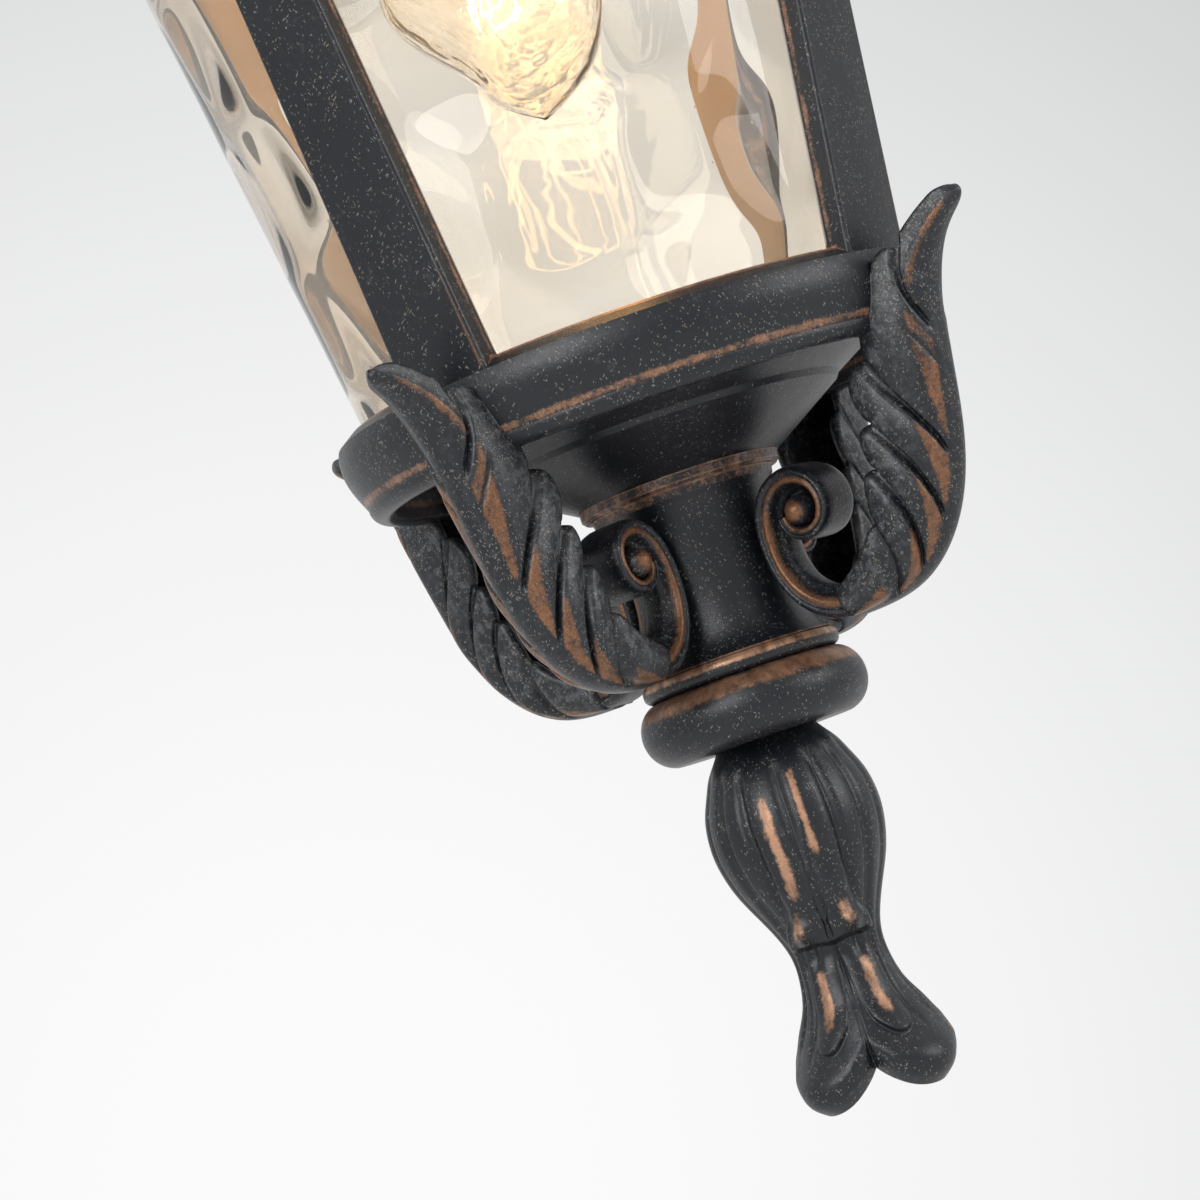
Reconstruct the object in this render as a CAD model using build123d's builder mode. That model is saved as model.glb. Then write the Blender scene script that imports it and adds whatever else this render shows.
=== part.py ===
from build123d import *
import os
from math import atan, cos, degrees, exp, pi, radians, sin, sqrt

# Chain hanging lantern. The origin is the centre of the ceiling face that the
# mounting strap bears on, +Z is up, and the lantern hangs down along -Z.
# Window centres face -Y, +X, +Y and -X, and the posts stand at 45 degrees.

os.makedirs("parts", exist_ok=True)

# Clearances
fit_gap = 0.15
swing_gap = 0.3
cut_over = 1.0

# Threaded stems and fasteners
nipple_radius = 4.8
nipple_bore = 3.2
nut_height = 4.0
nut_across_flats = 15.0
washer_thickness = 1.2
washer_radius = 9.0
rod_radius = 3.2
rod_nut_flats = 11.0
screw_radius = 2.0
screw_head_radius = 2.7
screw_head_height = 2.2
head_gap = 0.4
post_azimuths = (45, 135, 225, 315)

# Ceiling strap and canopy
strap_length = 112.0
strap_width = 20.0
strap_thickness = 2.5
strap_slot_spacing = 80.0
strap_slot_length = 20.0
strap_slot_width = 5.0
ground_screw_offset = 20.0
canopy_radius = 63.5
canopy_height = 27.0
canopy_wall = 1.5
collar_body_radius = 12.0
collar_ring_radius = 16.5
collar_ring_height = 7.0

# Loops and chain
ring_radius = 12.0
ring_wire_radius = 2.8
link_count = 7
link_length = 44.0
link_width = 26.0
link_wire_radius = 2.1

# Lantern taper and heights, from the band's top edge
cage_slope = 0.15
glass_slope = 0.142
band_radius = 75.0
cage_inner_radius = 69.0
post_width = 24.0
post_top_width = 18.5
post_edge_break = 1.0
window_height = 186.0
top_ring_height = 14.0
top_ring_wall = 9.5
top_ring_lip = 0.5
ledge_depth = 6.0
ledge_thickness = 3.0
ledge_inner_radius = 60.5
skirt_inner_radius = 66.5
band_depth = 19.0

# Glass and its seals
glass_radius = 67.0
glass_wall = 3.5
gasket_thickness = 2.0
top_gasket_height = 2.5

# Roof, crown and fixings
roof_wall = 2.6
brim_overhang = 14.0
brim_bead_radius = 3.6
roof_height = 84.0
roof_shoulder_step = 2.5
roof_top_radius = 33.0
crown_height = 42.0
crown_top_radius = 11.0
stud_radius = 2.5
cap_nut_radius = 6.5
top_boss_radius = 10.0
top_boss_height = 9.0

# Lampholder and bulb
bulb_tip_height = 62.0
bulb_length = 142.0
bulb_radius = 32.0
bulb_neck_radius = 12.6
bulb_cap_length = 26.0
bulb_cap_radius = 13.0
bulb_glass_wall = 0.9
holder_radius = 19.0
holder_top_radius = 15.5
holder_height = 50.0
shell_radius = 14.2
shell_wall = 0.5
bracket_length = 50.0
bracket_width = 18.0
bracket_thickness = 2.0
bulb_stem_radius = 2.2
filament_legs = 10

# Bottom pan, neck, collar and finial
pan_wall = 2.0
pan_rim_width = 5.8
pan_step_radius = 45.5
pan_step = 1.0
pan_base_radius = 25.5
pan_depth = 32.0
neck_flange_radius = 25.0
neck_flange_height = 3.0
neck_waist_radius = 18.8
neck_foot_radius = 23.6
neck_height = 44.4
neck_wall = 4.0
bead_radius = 24.6
bead_height = 4.6
torus_radius = 28.2
torus_height = 16.0
finial_height = 89.4
finial_top_radius = 12.5
finial_bulb_radius = 22.2
finial_waist_radius = 11.0
finial_foot_radius = 16.5
finial_turn = -13.0
flute_count = 16
flute_width = 1.3
flute_depth = 1.2
cleft_height = 8.0
cleft_width = 11.0
cleft_seam = 1.4

# Leaf brackets: midrib outline, section and scroll
leaf_wall = 3.4
leaf_width = 18.5
leaf_depth = 19.0
leaf_lobes = 6
first_lobe = 0.17
last_lobe = 0.86
lobe_slit_depth = 5.5
lobe_slit_width = 8.0
lobe_overhang = 3.0
scroll_width = 14.0
scroll_neck_gap = 0.2
scroll_eye_drop = 49.6
scroll_eye_size = 4.2
scroll_eye_stand = 1.6
scroll_reach = 28.6
scroll_outer = 14.4
scroll_closing = 8.4
scroll_ease = 58.0
scroll_wall = 5.2
scroll_end_wall = 2.2
scroll_turns = 1.28
leaf_bearing_drop = 15.0
bearing_length = 8.5
bearing_height = 6.0
bearing_width = 8.0
scroll_bearing_drop = 53.0

# Levels worked out from the ceiling down
canopy_bottom = -canopy_height
loop_body_top = canopy_bottom + 6.0
loop_body_bottom = canopy_bottom - collar_ring_height
canopy_ring_centre = loop_body_bottom - ring_radius + ring_wire_radius / 2
link_pitch = link_length - 4 * link_wire_radius - swing_gap
link_half = link_width / 2 - link_wire_radius
first_link_pivot = canopy_ring_centre - ring_radius + ring_wire_radius + link_wire_radius + swing_gap
last_wire_centre = (
    first_link_pivot
    - (link_count - 1) * link_pitch
    - (link_length - 2 * link_wire_radius)
)
lantern_pivot = last_wire_centre + link_wire_radius + ring_wire_radius + swing_gap
top_ring_centre = lantern_pivot - ring_radius
top_boss_top = top_ring_centre - ring_radius + ring_wire_radius / 2
top_boss_bottom = top_boss_top - top_boss_height
stem_top = top_boss_bottom + top_boss_height - 3.0
crown_bottom = top_boss_bottom - crown_height
brim_top = crown_bottom - roof_height
brim_bottom = brim_top - roof_wall
cage_top = brim_bottom
window_top = cage_top - top_ring_height
band_top = window_top - window_height
ledge_top = band_top - ledge_depth
glass_bottom = ledge_top + gasket_thickness
glass_top = cage_top - top_gasket_height
skirt_bottom = band_top - band_depth
pan_top = ledge_top - ledge_thickness
pan_bottom = band_top - pan_depth
neck_bottom = pan_bottom - neck_height
bead_bottom = neck_bottom - bead_height
torus_bottom = bead_bottom - torus_height
finial_bottom = torus_bottom - finial_height
bulb_tip = band_top + bulb_tip_height
bulb_cap_bottom = bulb_tip + bulb_length - bulb_cap_length
bulb_contact = bulb_tip + bulb_length
holder_top = bulb_contact + 14.0
holder_bottom = holder_top - holder_height

# Radii at the top follow from the cage's taper
top_ring_inner_radius = cage_inner_radius + cage_slope * (cage_top - band_top) - top_ring_lip
top_ring_radius = top_ring_inner_radius + top_ring_wall
stud_circle_radius = top_ring_inner_radius + top_ring_wall / 2
roof_shoulder_radius = top_ring_inner_radius - roof_shoulder_step
brim_radius = top_ring_radius + brim_overhang

# The scroll's eye stands off the neck's waist
scroll_eye_radius = neck_waist_radius + scroll_outer + scroll_neck_gap


def on_cage(radius, height):
    """Radius of the cage's wall at a height, from its radius at the band's top."""
    return radius + cage_slope * (height - band_top)


def on_glass(radius, height):
    """Radius of the glass at a height, from its radius at the band's top."""
    return radius + glass_slope * (height - band_top)


def band_rim(extra):
    """Start, bulge and foot of the band's outer face, grown by a clearance."""
    return [
        (band_radius + extra, band_top),
        (band_radius + 0.7 + extra, band_top - 4.5),
        (band_radius - 2.6 + extra, band_top - 15.0),
    ]


def radial_plane(azimuth, radius):
    """Upright plane that faces outwards at an azimuth, with y as height."""
    turn = radians(azimuth)
    return Plane(
        origin=(radius * cos(turn), radius * sin(turn), 0),
        x_dir=(-sin(turn), cos(turn), 0),
        z_dir=(cos(turn), sin(turn), 0),
    )


def finish(piece, label):
    """Name a finished piece and write it to its own file."""
    piece.part.label = label
    export_step(piece.part, f"parts/{label}.step")


# Ceiling strap with two slots for the box screws
with BuildPart() as mounting_strap:
    with BuildSketch(Plane.XY.offset(-strap_thickness)):
        RectangleRounded(strap_length, strap_width, strap_width / 4)
        with GridLocations(strap_slot_spacing, 0, 2, 1):
            SlotOverall(strap_slot_length, strap_slot_width, mode=Mode.SUBTRACT)
        Circle(nipple_radius + fit_gap, mode=Mode.SUBTRACT)
        with Locations((ground_screw_offset, 0)):
            Circle(screw_radius + fit_gap, mode=Mode.SUBTRACT)
    extrude(amount=strap_thickness)
finish(mounting_strap, "mounting_strap")

with BuildPart() as ground_screw:
    with BuildSketch(Plane.XY.offset(-strap_thickness)):
        with Locations((ground_screw_offset, 0)):
            Circle(screw_radius)
    extrude(amount=strap_thickness)
    with BuildSketch(Plane.XY.offset(-strap_thickness)):
        with Locations((ground_screw_offset, 0)):
            RegularPolygon(screw_head_radius * 1.3, 6)
    extrude(amount=-screw_head_height)
finish(ground_screw, "ground_screw")

# Threaded nipple from the strap into the canopy loop
with BuildPart() as canopy_nipple:
    with BuildSketch():
        Circle(nipple_radius)
        Circle(nipple_bore, mode=Mode.SUBTRACT)
    extrude(amount=loop_body_top - 5.0)
finish(canopy_nipple, "canopy_nipple")

with BuildPart() as strap_locknut:
    with BuildSketch(Plane.XY.offset(-strap_thickness)):
        RegularPolygon(nut_across_flats / 2, 6, major_radius=False)
        Circle(nipple_radius + fit_gap, mode=Mode.SUBTRACT)
    extrude(amount=-nut_height)
finish(strap_locknut, "strap_locknut")

# Spun canopy: a shallow dome with a stepped rim, open at the ceiling
with BuildPart() as canopy:
    with BuildSketch(Plane.XZ):
        with BuildLine():
            bead = 4.0
            Polyline(
                (canopy_radius - canopy_wall, 0),
                (canopy_radius, 0),
                (canopy_radius, -bead),
                (canopy_radius - bead / 2, -bead),
            )
            ThreePointArc(
                (canopy_radius - bead / 2, -bead),
                (canopy_radius * 0.72, canopy_bottom * 0.82),
                (collar_ring_radius + 1.5, canopy_bottom),
            )
            Polyline(
                (collar_ring_radius + 1.5, canopy_bottom),
                (collar_body_radius + fit_gap, canopy_bottom),
                (collar_body_radius + fit_gap, canopy_bottom + canopy_wall),
                (collar_ring_radius + 1.5, canopy_bottom + canopy_wall),
            )
            ThreePointArc(
                (collar_ring_radius + 1.5, canopy_bottom + canopy_wall),
                (canopy_radius * 0.72 - canopy_wall * 0.8, canopy_bottom * 0.82 + canopy_wall * 0.8),
                (canopy_radius - bead / 2 - canopy_wall, -bead + canopy_wall / 2),
            )
            Line(
                (canopy_radius - bead / 2 - canopy_wall, -bead + canopy_wall / 2),
                (canopy_radius - canopy_wall, 0),
            )
        make_face()
    revolve(axis=Axis.Z)
finish(canopy, "canopy")

# Canopy loop: threaded body through the canopy, with a ring cast below it
with BuildPart() as canopy_loop:
    with BuildSketch(Plane.XY.offset(loop_body_bottom)):
        Circle(collar_body_radius)
    extrude(amount=loop_body_top - loop_body_bottom)
    with BuildSketch(Plane.XY.offset(loop_body_top)):
        Circle(nipple_radius + fit_gap)
    extrude(amount=-7.0, mode=Mode.SUBTRACT)
    with BuildSketch(Plane.XY.offset(canopy_ring_centre)):
        with Locations((ring_radius, 0)):
            Circle(ring_wire_radius)
    revolve(axis=Axis((0, 0, canopy_ring_centre), (0, 1, 0)))
finish(canopy_loop, "canopy_loop")

with BuildPart() as canopy_collar:
    with BuildSketch(Plane.XY.offset(canopy_bottom)):
        Circle(collar_ring_radius)
        Circle(collar_body_radius + fit_gap, mode=Mode.SUBTRACT)
    extrude(amount=-collar_ring_height + 1.0)
    fillet(canopy_collar.faces().sort_by(Axis.Z)[0].outer_wire().edges(), 1.8)
finish(canopy_collar, "canopy_collar")


def chain_link(index):
    """One closed oval link, every second one turned a quarter about the chain."""
    top = first_link_pivot - index * link_pitch
    across = Plane.YZ if index % 2 == 0 else Plane.XZ
    run = link_length - 2 * link_wire_radius - 2 * link_half
    upper = top - link_half
    lower = upper - run
    with BuildPart() as link:
        with BuildLine(across) as loop:
            Line((link_half, lower), (link_half, upper))
            ThreePointArc((link_half, upper), (0, top), (-link_half, upper))
            Line((-link_half, upper), (-link_half, lower))
            ThreePointArc((-link_half, lower), (0, lower - link_half), (link_half, lower))
        with BuildSketch(Plane(loop.line @ 0, z_dir=loop.line % 0)):
            Circle(link_wire_radius)
        sweep()
    return link


for number in range(link_count):
    finish(chain_link(number), f"chain_link_{number + 1}")

# Lantern loop: boss on the roof's crown with the ring that hangs in the chain
with BuildPart() as lantern_loop:
    with BuildSketch(Plane.XY.offset(top_boss_bottom)):
        Circle(top_boss_radius)
    extrude(amount=top_boss_height)
    fillet(lantern_loop.faces().sort_by(Axis.Z)[-1].edges(), 2.0)
    with BuildSketch(Plane.XY.offset(top_ring_centre)):
        with Locations((ring_radius, 0)):
            Circle(ring_wire_radius)
    revolve(axis=Axis((0, 0, top_ring_centre), (0, 1, 0)))
    with BuildSketch(Plane.XY.offset(top_boss_bottom)):
        Circle(nipple_radius + fit_gap)
    extrude(amount=stem_top - top_boss_bottom + fit_gap, mode=Mode.SUBTRACT)
finish(lantern_loop, "lantern_loop")

# Crown: turned cap with a bead, a cove and a domed foot
with BuildPart() as roof_crown:
    with BuildSketch(Plane.XZ):
        with BuildLine():
            bore = nipple_radius + fit_gap
            foot = crown_bottom + 5.0
            waist = crown_bottom + crown_height * 0.55
            Polyline(
                (bore, top_boss_bottom),
                (crown_top_radius, top_boss_bottom),
                (crown_top_radius + 2.0, top_boss_bottom - 3.0),
            )
            ThreePointArc(
                (crown_top_radius + 2.0, top_boss_bottom - 3.0),
                (crown_top_radius + 5.0, top_boss_bottom - 6.5),
                (crown_top_radius + 2.0, top_boss_bottom - 10.0),
            )
            Spline(
                (crown_top_radius + 2.0, top_boss_bottom - 10.0),
                (crown_top_radius + 2.5, waist),
                (roof_top_radius - 4.0, foot + 4.0),
                tangents=[(-0.5, -1), (1, -0.4)],
            )
            Polyline(
                (roof_top_radius - 4.0, foot + 4.0),
                (roof_top_radius, foot),
                (roof_top_radius + 2.0, foot - 2.0),
                (roof_top_radius + 2.0, crown_bottom),
                (bore, crown_bottom),
                (bore, top_boss_bottom),
            )
        make_face()
    revolve(axis=Axis.Z)
finish(roof_crown, "roof_crown")


def roof_line(shift):
    """Ogee outline of the roof, from the brim up, moved in by a wall."""
    low = (roof_shoulder_radius - shift, brim_top)
    mid = (roof_shoulder_radius * 0.74 - shift, brim_top + roof_height * 0.30 - shift * 0.35)
    high = (roof_top_radius + 9.0 - shift, brim_top + roof_height * 0.72)
    top = (roof_top_radius + 1.0 - shift * 0.2, crown_bottom - shift)
    return [low, mid, high, top]


# Roof: an ogee shell with a flat brim and a rolled edge
with BuildPart() as roof:
    with BuildSketch(Plane.XZ):
        outside = roof_line(0)
        inside = roof_line(roof_wall)
        bore = nipple_radius + fit_gap
        with BuildLine():
            Spline(*outside, tangents=[(-1, 0.75), (-0.6, 1)])
            Polyline(outside[-1], (bore, crown_bottom), (bore, crown_bottom - roof_wall), inside[-1])
            Spline(*inside, tangents=[(-1, 0.75), (-0.6, 1)])
            Polyline(
                inside[0],
                (roof_shoulder_radius - roof_wall, brim_bottom),
                (brim_radius, brim_bottom),
                (brim_radius, brim_top),
                outside[0],
            )
        make_face()
    revolve(axis=Axis.Z)
    with BuildSketch(Plane.XZ):
        with Locations((brim_radius, brim_top - roof_wall / 2)):
            Circle(brim_bead_radius)
    revolve(axis=Axis.Z)
    with BuildSketch(Plane.XY.offset(brim_top)):
        with PolarLocations(stud_circle_radius, 4, 45):
            Circle(stud_radius + fit_gap)
    extrude(amount=-roof_wall, mode=Mode.SUBTRACT)
finish(roof, "roof")

# Cage: bottom band, four tapering posts and top ring in one casting
with BuildPart() as cage:
    with BuildSketch(Plane.XZ):
        with BuildLine():
            Polyline(
                (on_cage(cage_inner_radius, band_top), band_top),
                (on_cage(band_radius, band_top), band_top),
                (on_cage(band_radius, window_top), window_top),
                (on_cage(cage_inner_radius, window_top), window_top),
                close=True,
            )
        make_face()
    revolve(axis=Axis.Z)
    with BuildSketch(Plane.XY.offset(band_top)):
        window_side = 3 * band_radius
        window_corner = post_width / sqrt(2)
        with PolarLocations(window_corner + window_side / sqrt(2), 4):
            Rectangle(window_side, window_side, rotation=45)
    narrowing = degrees(atan((post_width - post_top_width) / 2 / window_height))
    extrude(amount=window_height, taper=-narrowing, mode=Mode.SUBTRACT)
    outer_edges = (
        cage.edges()
        .filter_by(lambda edge: edge.length > window_height * 0.9)
        .sort_by(lambda edge: edge.center().X ** 2 + edge.center().Y ** 2)[-8:]
    )
    fillet(outer_edges, post_edge_break)
    with BuildSketch(Plane.XZ):
        with BuildLine():
            Polyline(
                (skirt_inner_radius, skirt_bottom + 1.5),
                (skirt_inner_radius, pan_top),
                (ledge_inner_radius, pan_top),
                (ledge_inner_radius, ledge_top),
                (cage_inner_radius, ledge_top),
                (cage_inner_radius, band_top + 2.6),
                (cage_inner_radius + 2.2, band_top + 2.6),
                band_rim(0)[0],
            )
            Spline(*band_rim(0), tangents=[(0.4, -1), (-0.45, -1)])
            ThreePointArc(
                band_rim(0)[-1],
                (band_radius - 4.6, skirt_bottom + 0.6),
                (skirt_inner_radius, skirt_bottom + 1.5),
            )
        make_face()
    revolve(axis=Axis.Z)
    with BuildSketch(Plane.XZ):
        with BuildLine():
            Polyline(
                (top_ring_radius, window_top),
                (top_ring_inner_radius, window_top),
                (top_ring_inner_radius, cage_top),
                (top_ring_radius, cage_top),
            )
            ThreePointArc(
                (top_ring_radius, cage_top),
                (top_ring_radius + 2.0, (cage_top + window_top) / 2),
                (top_ring_radius, window_top),
            )
        make_face()
    revolve(axis=Axis.Z)
    with BuildSketch(Plane.XY.offset(cage_top)):
        with PolarLocations(stud_circle_radius, 4, 45):
            Circle(stud_radius + fit_gap)
    extrude(amount=-top_ring_height, mode=Mode.SUBTRACT)
    with BuildSketch(Plane.XY.offset(pan_top)):
        with PolarLocations((ledge_inner_radius + skirt_inner_radius) / 2, 4):
            Circle(screw_radius + fit_gap)
    extrude(amount=ledge_thickness, mode=Mode.SUBTRACT)
    for azimuth in post_azimuths:
        with BuildSketch(radial_plane(azimuth, skirt_inner_radius - cut_over)):
            with Locations((0, band_top - leaf_bearing_drop)):
                Circle(screw_radius + fit_gap)
        extrude(amount=band_radius - skirt_inner_radius + 2 * cut_over, mode=Mode.SUBTRACT)
finish(cage, "cage")

# Roof studs stand in the top ring, and a ball nut clamps the brim on each
with BuildPart() as roof_studs:
    with BuildSketch(Plane.XY.offset(window_top + 2.0)):
        with PolarLocations(stud_circle_radius, 4, 45):
            Circle(stud_radius)
    extrude(amount=brim_top - window_top + 5.0)
finish(roof_studs, "roof_studs")

with BuildPart() as roof_ball_nuts:
    with BuildSketch(Plane.XY.offset(brim_top)):
        with PolarLocations(stud_circle_radius, 4, 45):
            Circle(cap_nut_radius)
            Circle(stud_radius + fit_gap, mode=Mode.SUBTRACT)
    extrude(amount=9.0)
    fillet(roof_ball_nuts.faces().sort_by(Axis.Z)[-4:].edges().sort_by(Edge.length)[-4:], 3.5)
finish(roof_ball_nuts, "roof_ball_nuts")

# Tapered glass between two soft rings
with BuildPart() as glass_chimney:
    with BuildSketch(Plane.XZ):
        with BuildLine():
            Polyline(
                (on_glass(glass_radius, glass_bottom), glass_bottom),
                (on_glass(glass_radius, glass_top), glass_top),
                (on_glass(glass_radius - glass_wall, glass_top), glass_top),
                (on_glass(glass_radius - glass_wall, glass_bottom), glass_bottom),
                close=True,
            )
        make_face()
    revolve(axis=Axis.Z)
finish(glass_chimney, "glass_chimney")

with BuildPart() as lower_glass_gasket:
    with BuildSketch(Plane.XY.offset(ledge_top)):
        Circle(on_glass(glass_radius, glass_bottom) + 1.0)
        Circle(ledge_inner_radius + 0.5, mode=Mode.SUBTRACT)
    extrude(amount=gasket_thickness)
finish(lower_glass_gasket, "lower_glass_gasket")

with BuildPart() as upper_glass_gasket:
    with BuildSketch(Plane.XY.offset(glass_top)):
        Circle(on_glass(glass_radius, glass_top) + 0.8)
        Circle(on_glass(glass_radius - glass_wall, glass_top) - 0.8, mode=Mode.SUBTRACT)
    extrude(amount=top_gasket_height)
finish(upper_glass_gasket, "upper_glass_gasket")

# Stem from the lantern loop down through crown, roof and bracket to the lampholder
with BuildPart() as stem_nipple:
    with BuildSketch(Plane.XY.offset(holder_top - 6.0)):
        Circle(nipple_radius)
        Circle(nipple_bore, mode=Mode.SUBTRACT)
    extrude(amount=stem_top - holder_top + 6.0)
finish(stem_nipple, "stem_nipple")

bracket_top = crown_bottom - roof_wall
with BuildPart() as lamp_bracket:
    with BuildSketch(Plane.XY.offset(bracket_top)):
        RectangleRounded(bracket_length, bracket_width, 3)
        Circle(nipple_radius + fit_gap, mode=Mode.SUBTRACT)
    extrude(amount=-bracket_thickness)
finish(lamp_bracket, "lamp_bracket")

with BuildPart() as stem_locknut:
    with BuildSketch(Plane.XY.offset(bracket_top - bracket_thickness)):
        RegularPolygon(nut_across_flats / 2, 6, major_radius=False)
        Circle(nipple_radius + fit_gap, mode=Mode.SUBTRACT)
    extrude(amount=-nut_height)
finish(stem_locknut, "stem_locknut")

# Porcelain lampholder with its screw shell and centre contact
with BuildPart() as lampholder:
    with BuildSketch(Plane.XZ):
        with BuildLine():
            bore = nipple_radius + fit_gap
            Polyline(
                (bore, holder_top),
                (holder_top_radius, holder_top),
                (holder_top_radius, holder_top - 8.0),
                (holder_radius, holder_top - 14.0),
                (holder_radius, holder_bottom),
                (shell_radius + fit_gap, holder_bottom),
                (shell_radius + fit_gap, bulb_contact + 3.0),
                (bore, bulb_contact + 3.0),
                close=True,
            )
        make_face()
    revolve(axis=Axis.Z)
finish(lampholder, "lampholder")

with BuildPart() as lampholder_shell:
    with BuildSketch(Plane.XY.offset(holder_bottom + 3.0)):
        Circle(shell_radius)
        Circle(shell_radius - shell_wall, mode=Mode.SUBTRACT)
    extrude(amount=bulb_contact - holder_bottom - 3.0)
finish(lampholder_shell, "lampholder_shell")

with BuildPart() as centre_contact:
    with BuildSketch(Plane.XZ):
        with BuildLine():
            Polyline(
                (-9.0, bulb_contact + 3.0),
                (9.0, bulb_contact + 3.0),
                (9.0, bulb_contact + 2.4),
                (3.0, bulb_contact + swing_gap),
                (-3.0, bulb_contact + swing_gap),
                (-9.0, bulb_contact + 2.4),
                close=True,
            )
        make_face()
    extrude(amount=2.5, both=True)
finish(centre_contact, "centre_contact")


def bulb_outline(inset):
    """Teardrop outline of the lamp from its tip to its neck, inset by a wall."""
    tip = bulb_tip + inset
    wide = bulb_radius - inset
    neck = bulb_neck_radius - inset
    return [
        (0, tip),
        (bulb_radius * 0.27 - inset * 0.7, bulb_tip + 7.0 + inset * 0.8),
        (bulb_radius * 0.72 - inset * 0.8, bulb_tip + 21.0 + inset * 0.5),
        (wide, bulb_tip + 45.0),
        (bulb_radius * 0.76 - inset, bulb_tip + 80.0),
        (neck, bulb_cap_bottom),
    ]


with BuildPart() as bulb_glass:
    with BuildSketch(Plane.XZ):
        envelope = bulb_outline(0)
        cavity = bulb_outline(bulb_glass_wall)
        with BuildLine():
            Spline(*envelope, tangents=[(1, 0.9), (-0.12, 1)])
            Line(envelope[-1], cavity[-1])
            Spline(*cavity, tangents=[(1, 0.9), (-0.12, 1)])
            Line(cavity[0], envelope[0])
        make_face()
    revolve(axis=Axis.Z)
finish(bulb_glass, "bulb_glass")

with BuildPart() as bulb_cap:
    with BuildSketch(Plane.XZ):
        ridge = 1.0
        pitch = 3.6
        thread_low = bulb_cap_bottom + 5.0
        with BuildLine():
            Polyline(
                (0, bulb_cap_bottom),
                (bulb_cap_radius, bulb_cap_bottom),
                (bulb_cap_radius, thread_low),
                *[
                    (bulb_cap_radius - ridge * (step % 2), thread_low + step * pitch / 2)
                    for step in range(1, 8)
                ],
                (4.5, bulb_contact - 1.5),
                (4.5, bulb_contact),
                (0, bulb_contact),
                close=True,
            )
        make_face()
    revolve(axis=Axis.Z)
finish(bulb_cap, "bulb_cap")

# Glass stem inside the lamp and the long looped filament on it
stem_low = bulb_tip + 52.0
with BuildPart() as bulb_stem:
    with BuildSketch(Plane.XZ):
        with BuildLine():
            Polyline(
                (0, bulb_cap_bottom),
                (8.0, bulb_cap_bottom),
                (6.0, bulb_cap_bottom - 14.0),
                (bulb_stem_radius, bulb_cap_bottom - 24.0),
                (bulb_stem_radius, stem_low),
                (0, stem_low),
                close=True,
            )
        make_face()
    revolve(axis=Axis.Z)
finish(bulb_stem, "bulb_stem")

filament_low = bulb_tip + 24.0
filament_high = bulb_tip + 88.0
with BuildPart() as bulb_filament:
    support = bulb_stem_radius + fit_gap + 0.35
    turns = [(support, 0, filament_high)]
    for leg in range(filament_legs):
        angle = 2 * pi * leg / filament_legs
        ends = (filament_low, filament_high) if leg % 2 else (filament_high, filament_low)
        for level in ends:
            reach = 13.0 if level == filament_low else 8.0
            turns.append((reach * cos(angle), reach * sin(angle), level))
    turns.append((support * cos(angle), support * sin(angle), filament_high))
    with BuildLine() as wire:
        FilletPolyline(*turns, radius=1.5)
    with BuildSketch(Plane(wire.line @ 0, z_dir=wire.line % 0)):
        RegularPolygon(0.5, 6)
    sweep(transition=Transition.RIGHT)
finish(bulb_filament, "bulb_filament")

# Bottom pan: a spun cone with a rim under the ledge and a flat base
with BuildPart() as bottom_pan:
    with BuildSketch(Plane.XZ):
        rim = skirt_inner_radius - swing_gap
        knee = rim - pan_rim_width
        step_level = pan_bottom + (pan_step_radius - pan_base_radius) * 0.57
        with BuildLine():
            Polyline(
                (rod_radius + fit_gap, pan_bottom),
                (pan_base_radius, pan_bottom),
                (pan_step_radius - pan_step, step_level),
                (pan_step_radius, step_level + pan_step * 1.5),
                (knee, pan_top - pan_wall),
                (rim, pan_top - pan_wall),
                (rim, pan_top),
                (knee - 1.0, pan_top),
                (pan_step_radius - pan_wall / 2, step_level + pan_step * 1.5 + pan_wall),
                (pan_step_radius - pan_wall / 2 - pan_step, step_level + pan_wall),
                (pan_base_radius - pan_wall / 2, pan_bottom + pan_wall),
                (rod_radius + fit_gap, pan_bottom + pan_wall),
                close=True,
            )
        make_face()
    revolve(axis=Axis.Z)
    with BuildSketch(Plane.XY.offset(pan_top)):
        with PolarLocations((ledge_inner_radius + skirt_inner_radius) / 2, 4):
            Circle(screw_radius + fit_gap)
    extrude(amount=-pan_wall, mode=Mode.SUBTRACT)
finish(bottom_pan, "bottom_pan")

with BuildPart() as pan_screws:
    with BuildSketch(Plane.XY.offset(pan_top - pan_wall)):
        with PolarLocations((ledge_inner_radius + skirt_inner_radius) / 2, 4):
            Circle(screw_radius)
    extrude(amount=pan_wall + ledge_thickness - 0.3)
    with BuildSketch(Plane.XY.offset(pan_top - pan_wall)):
        with PolarLocations((ledge_inner_radius + skirt_inner_radius) / 2, 4):
            Circle(screw_head_radius)
    extrude(amount=-screw_head_height)
finish(pan_screws, "pan_screws")

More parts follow.
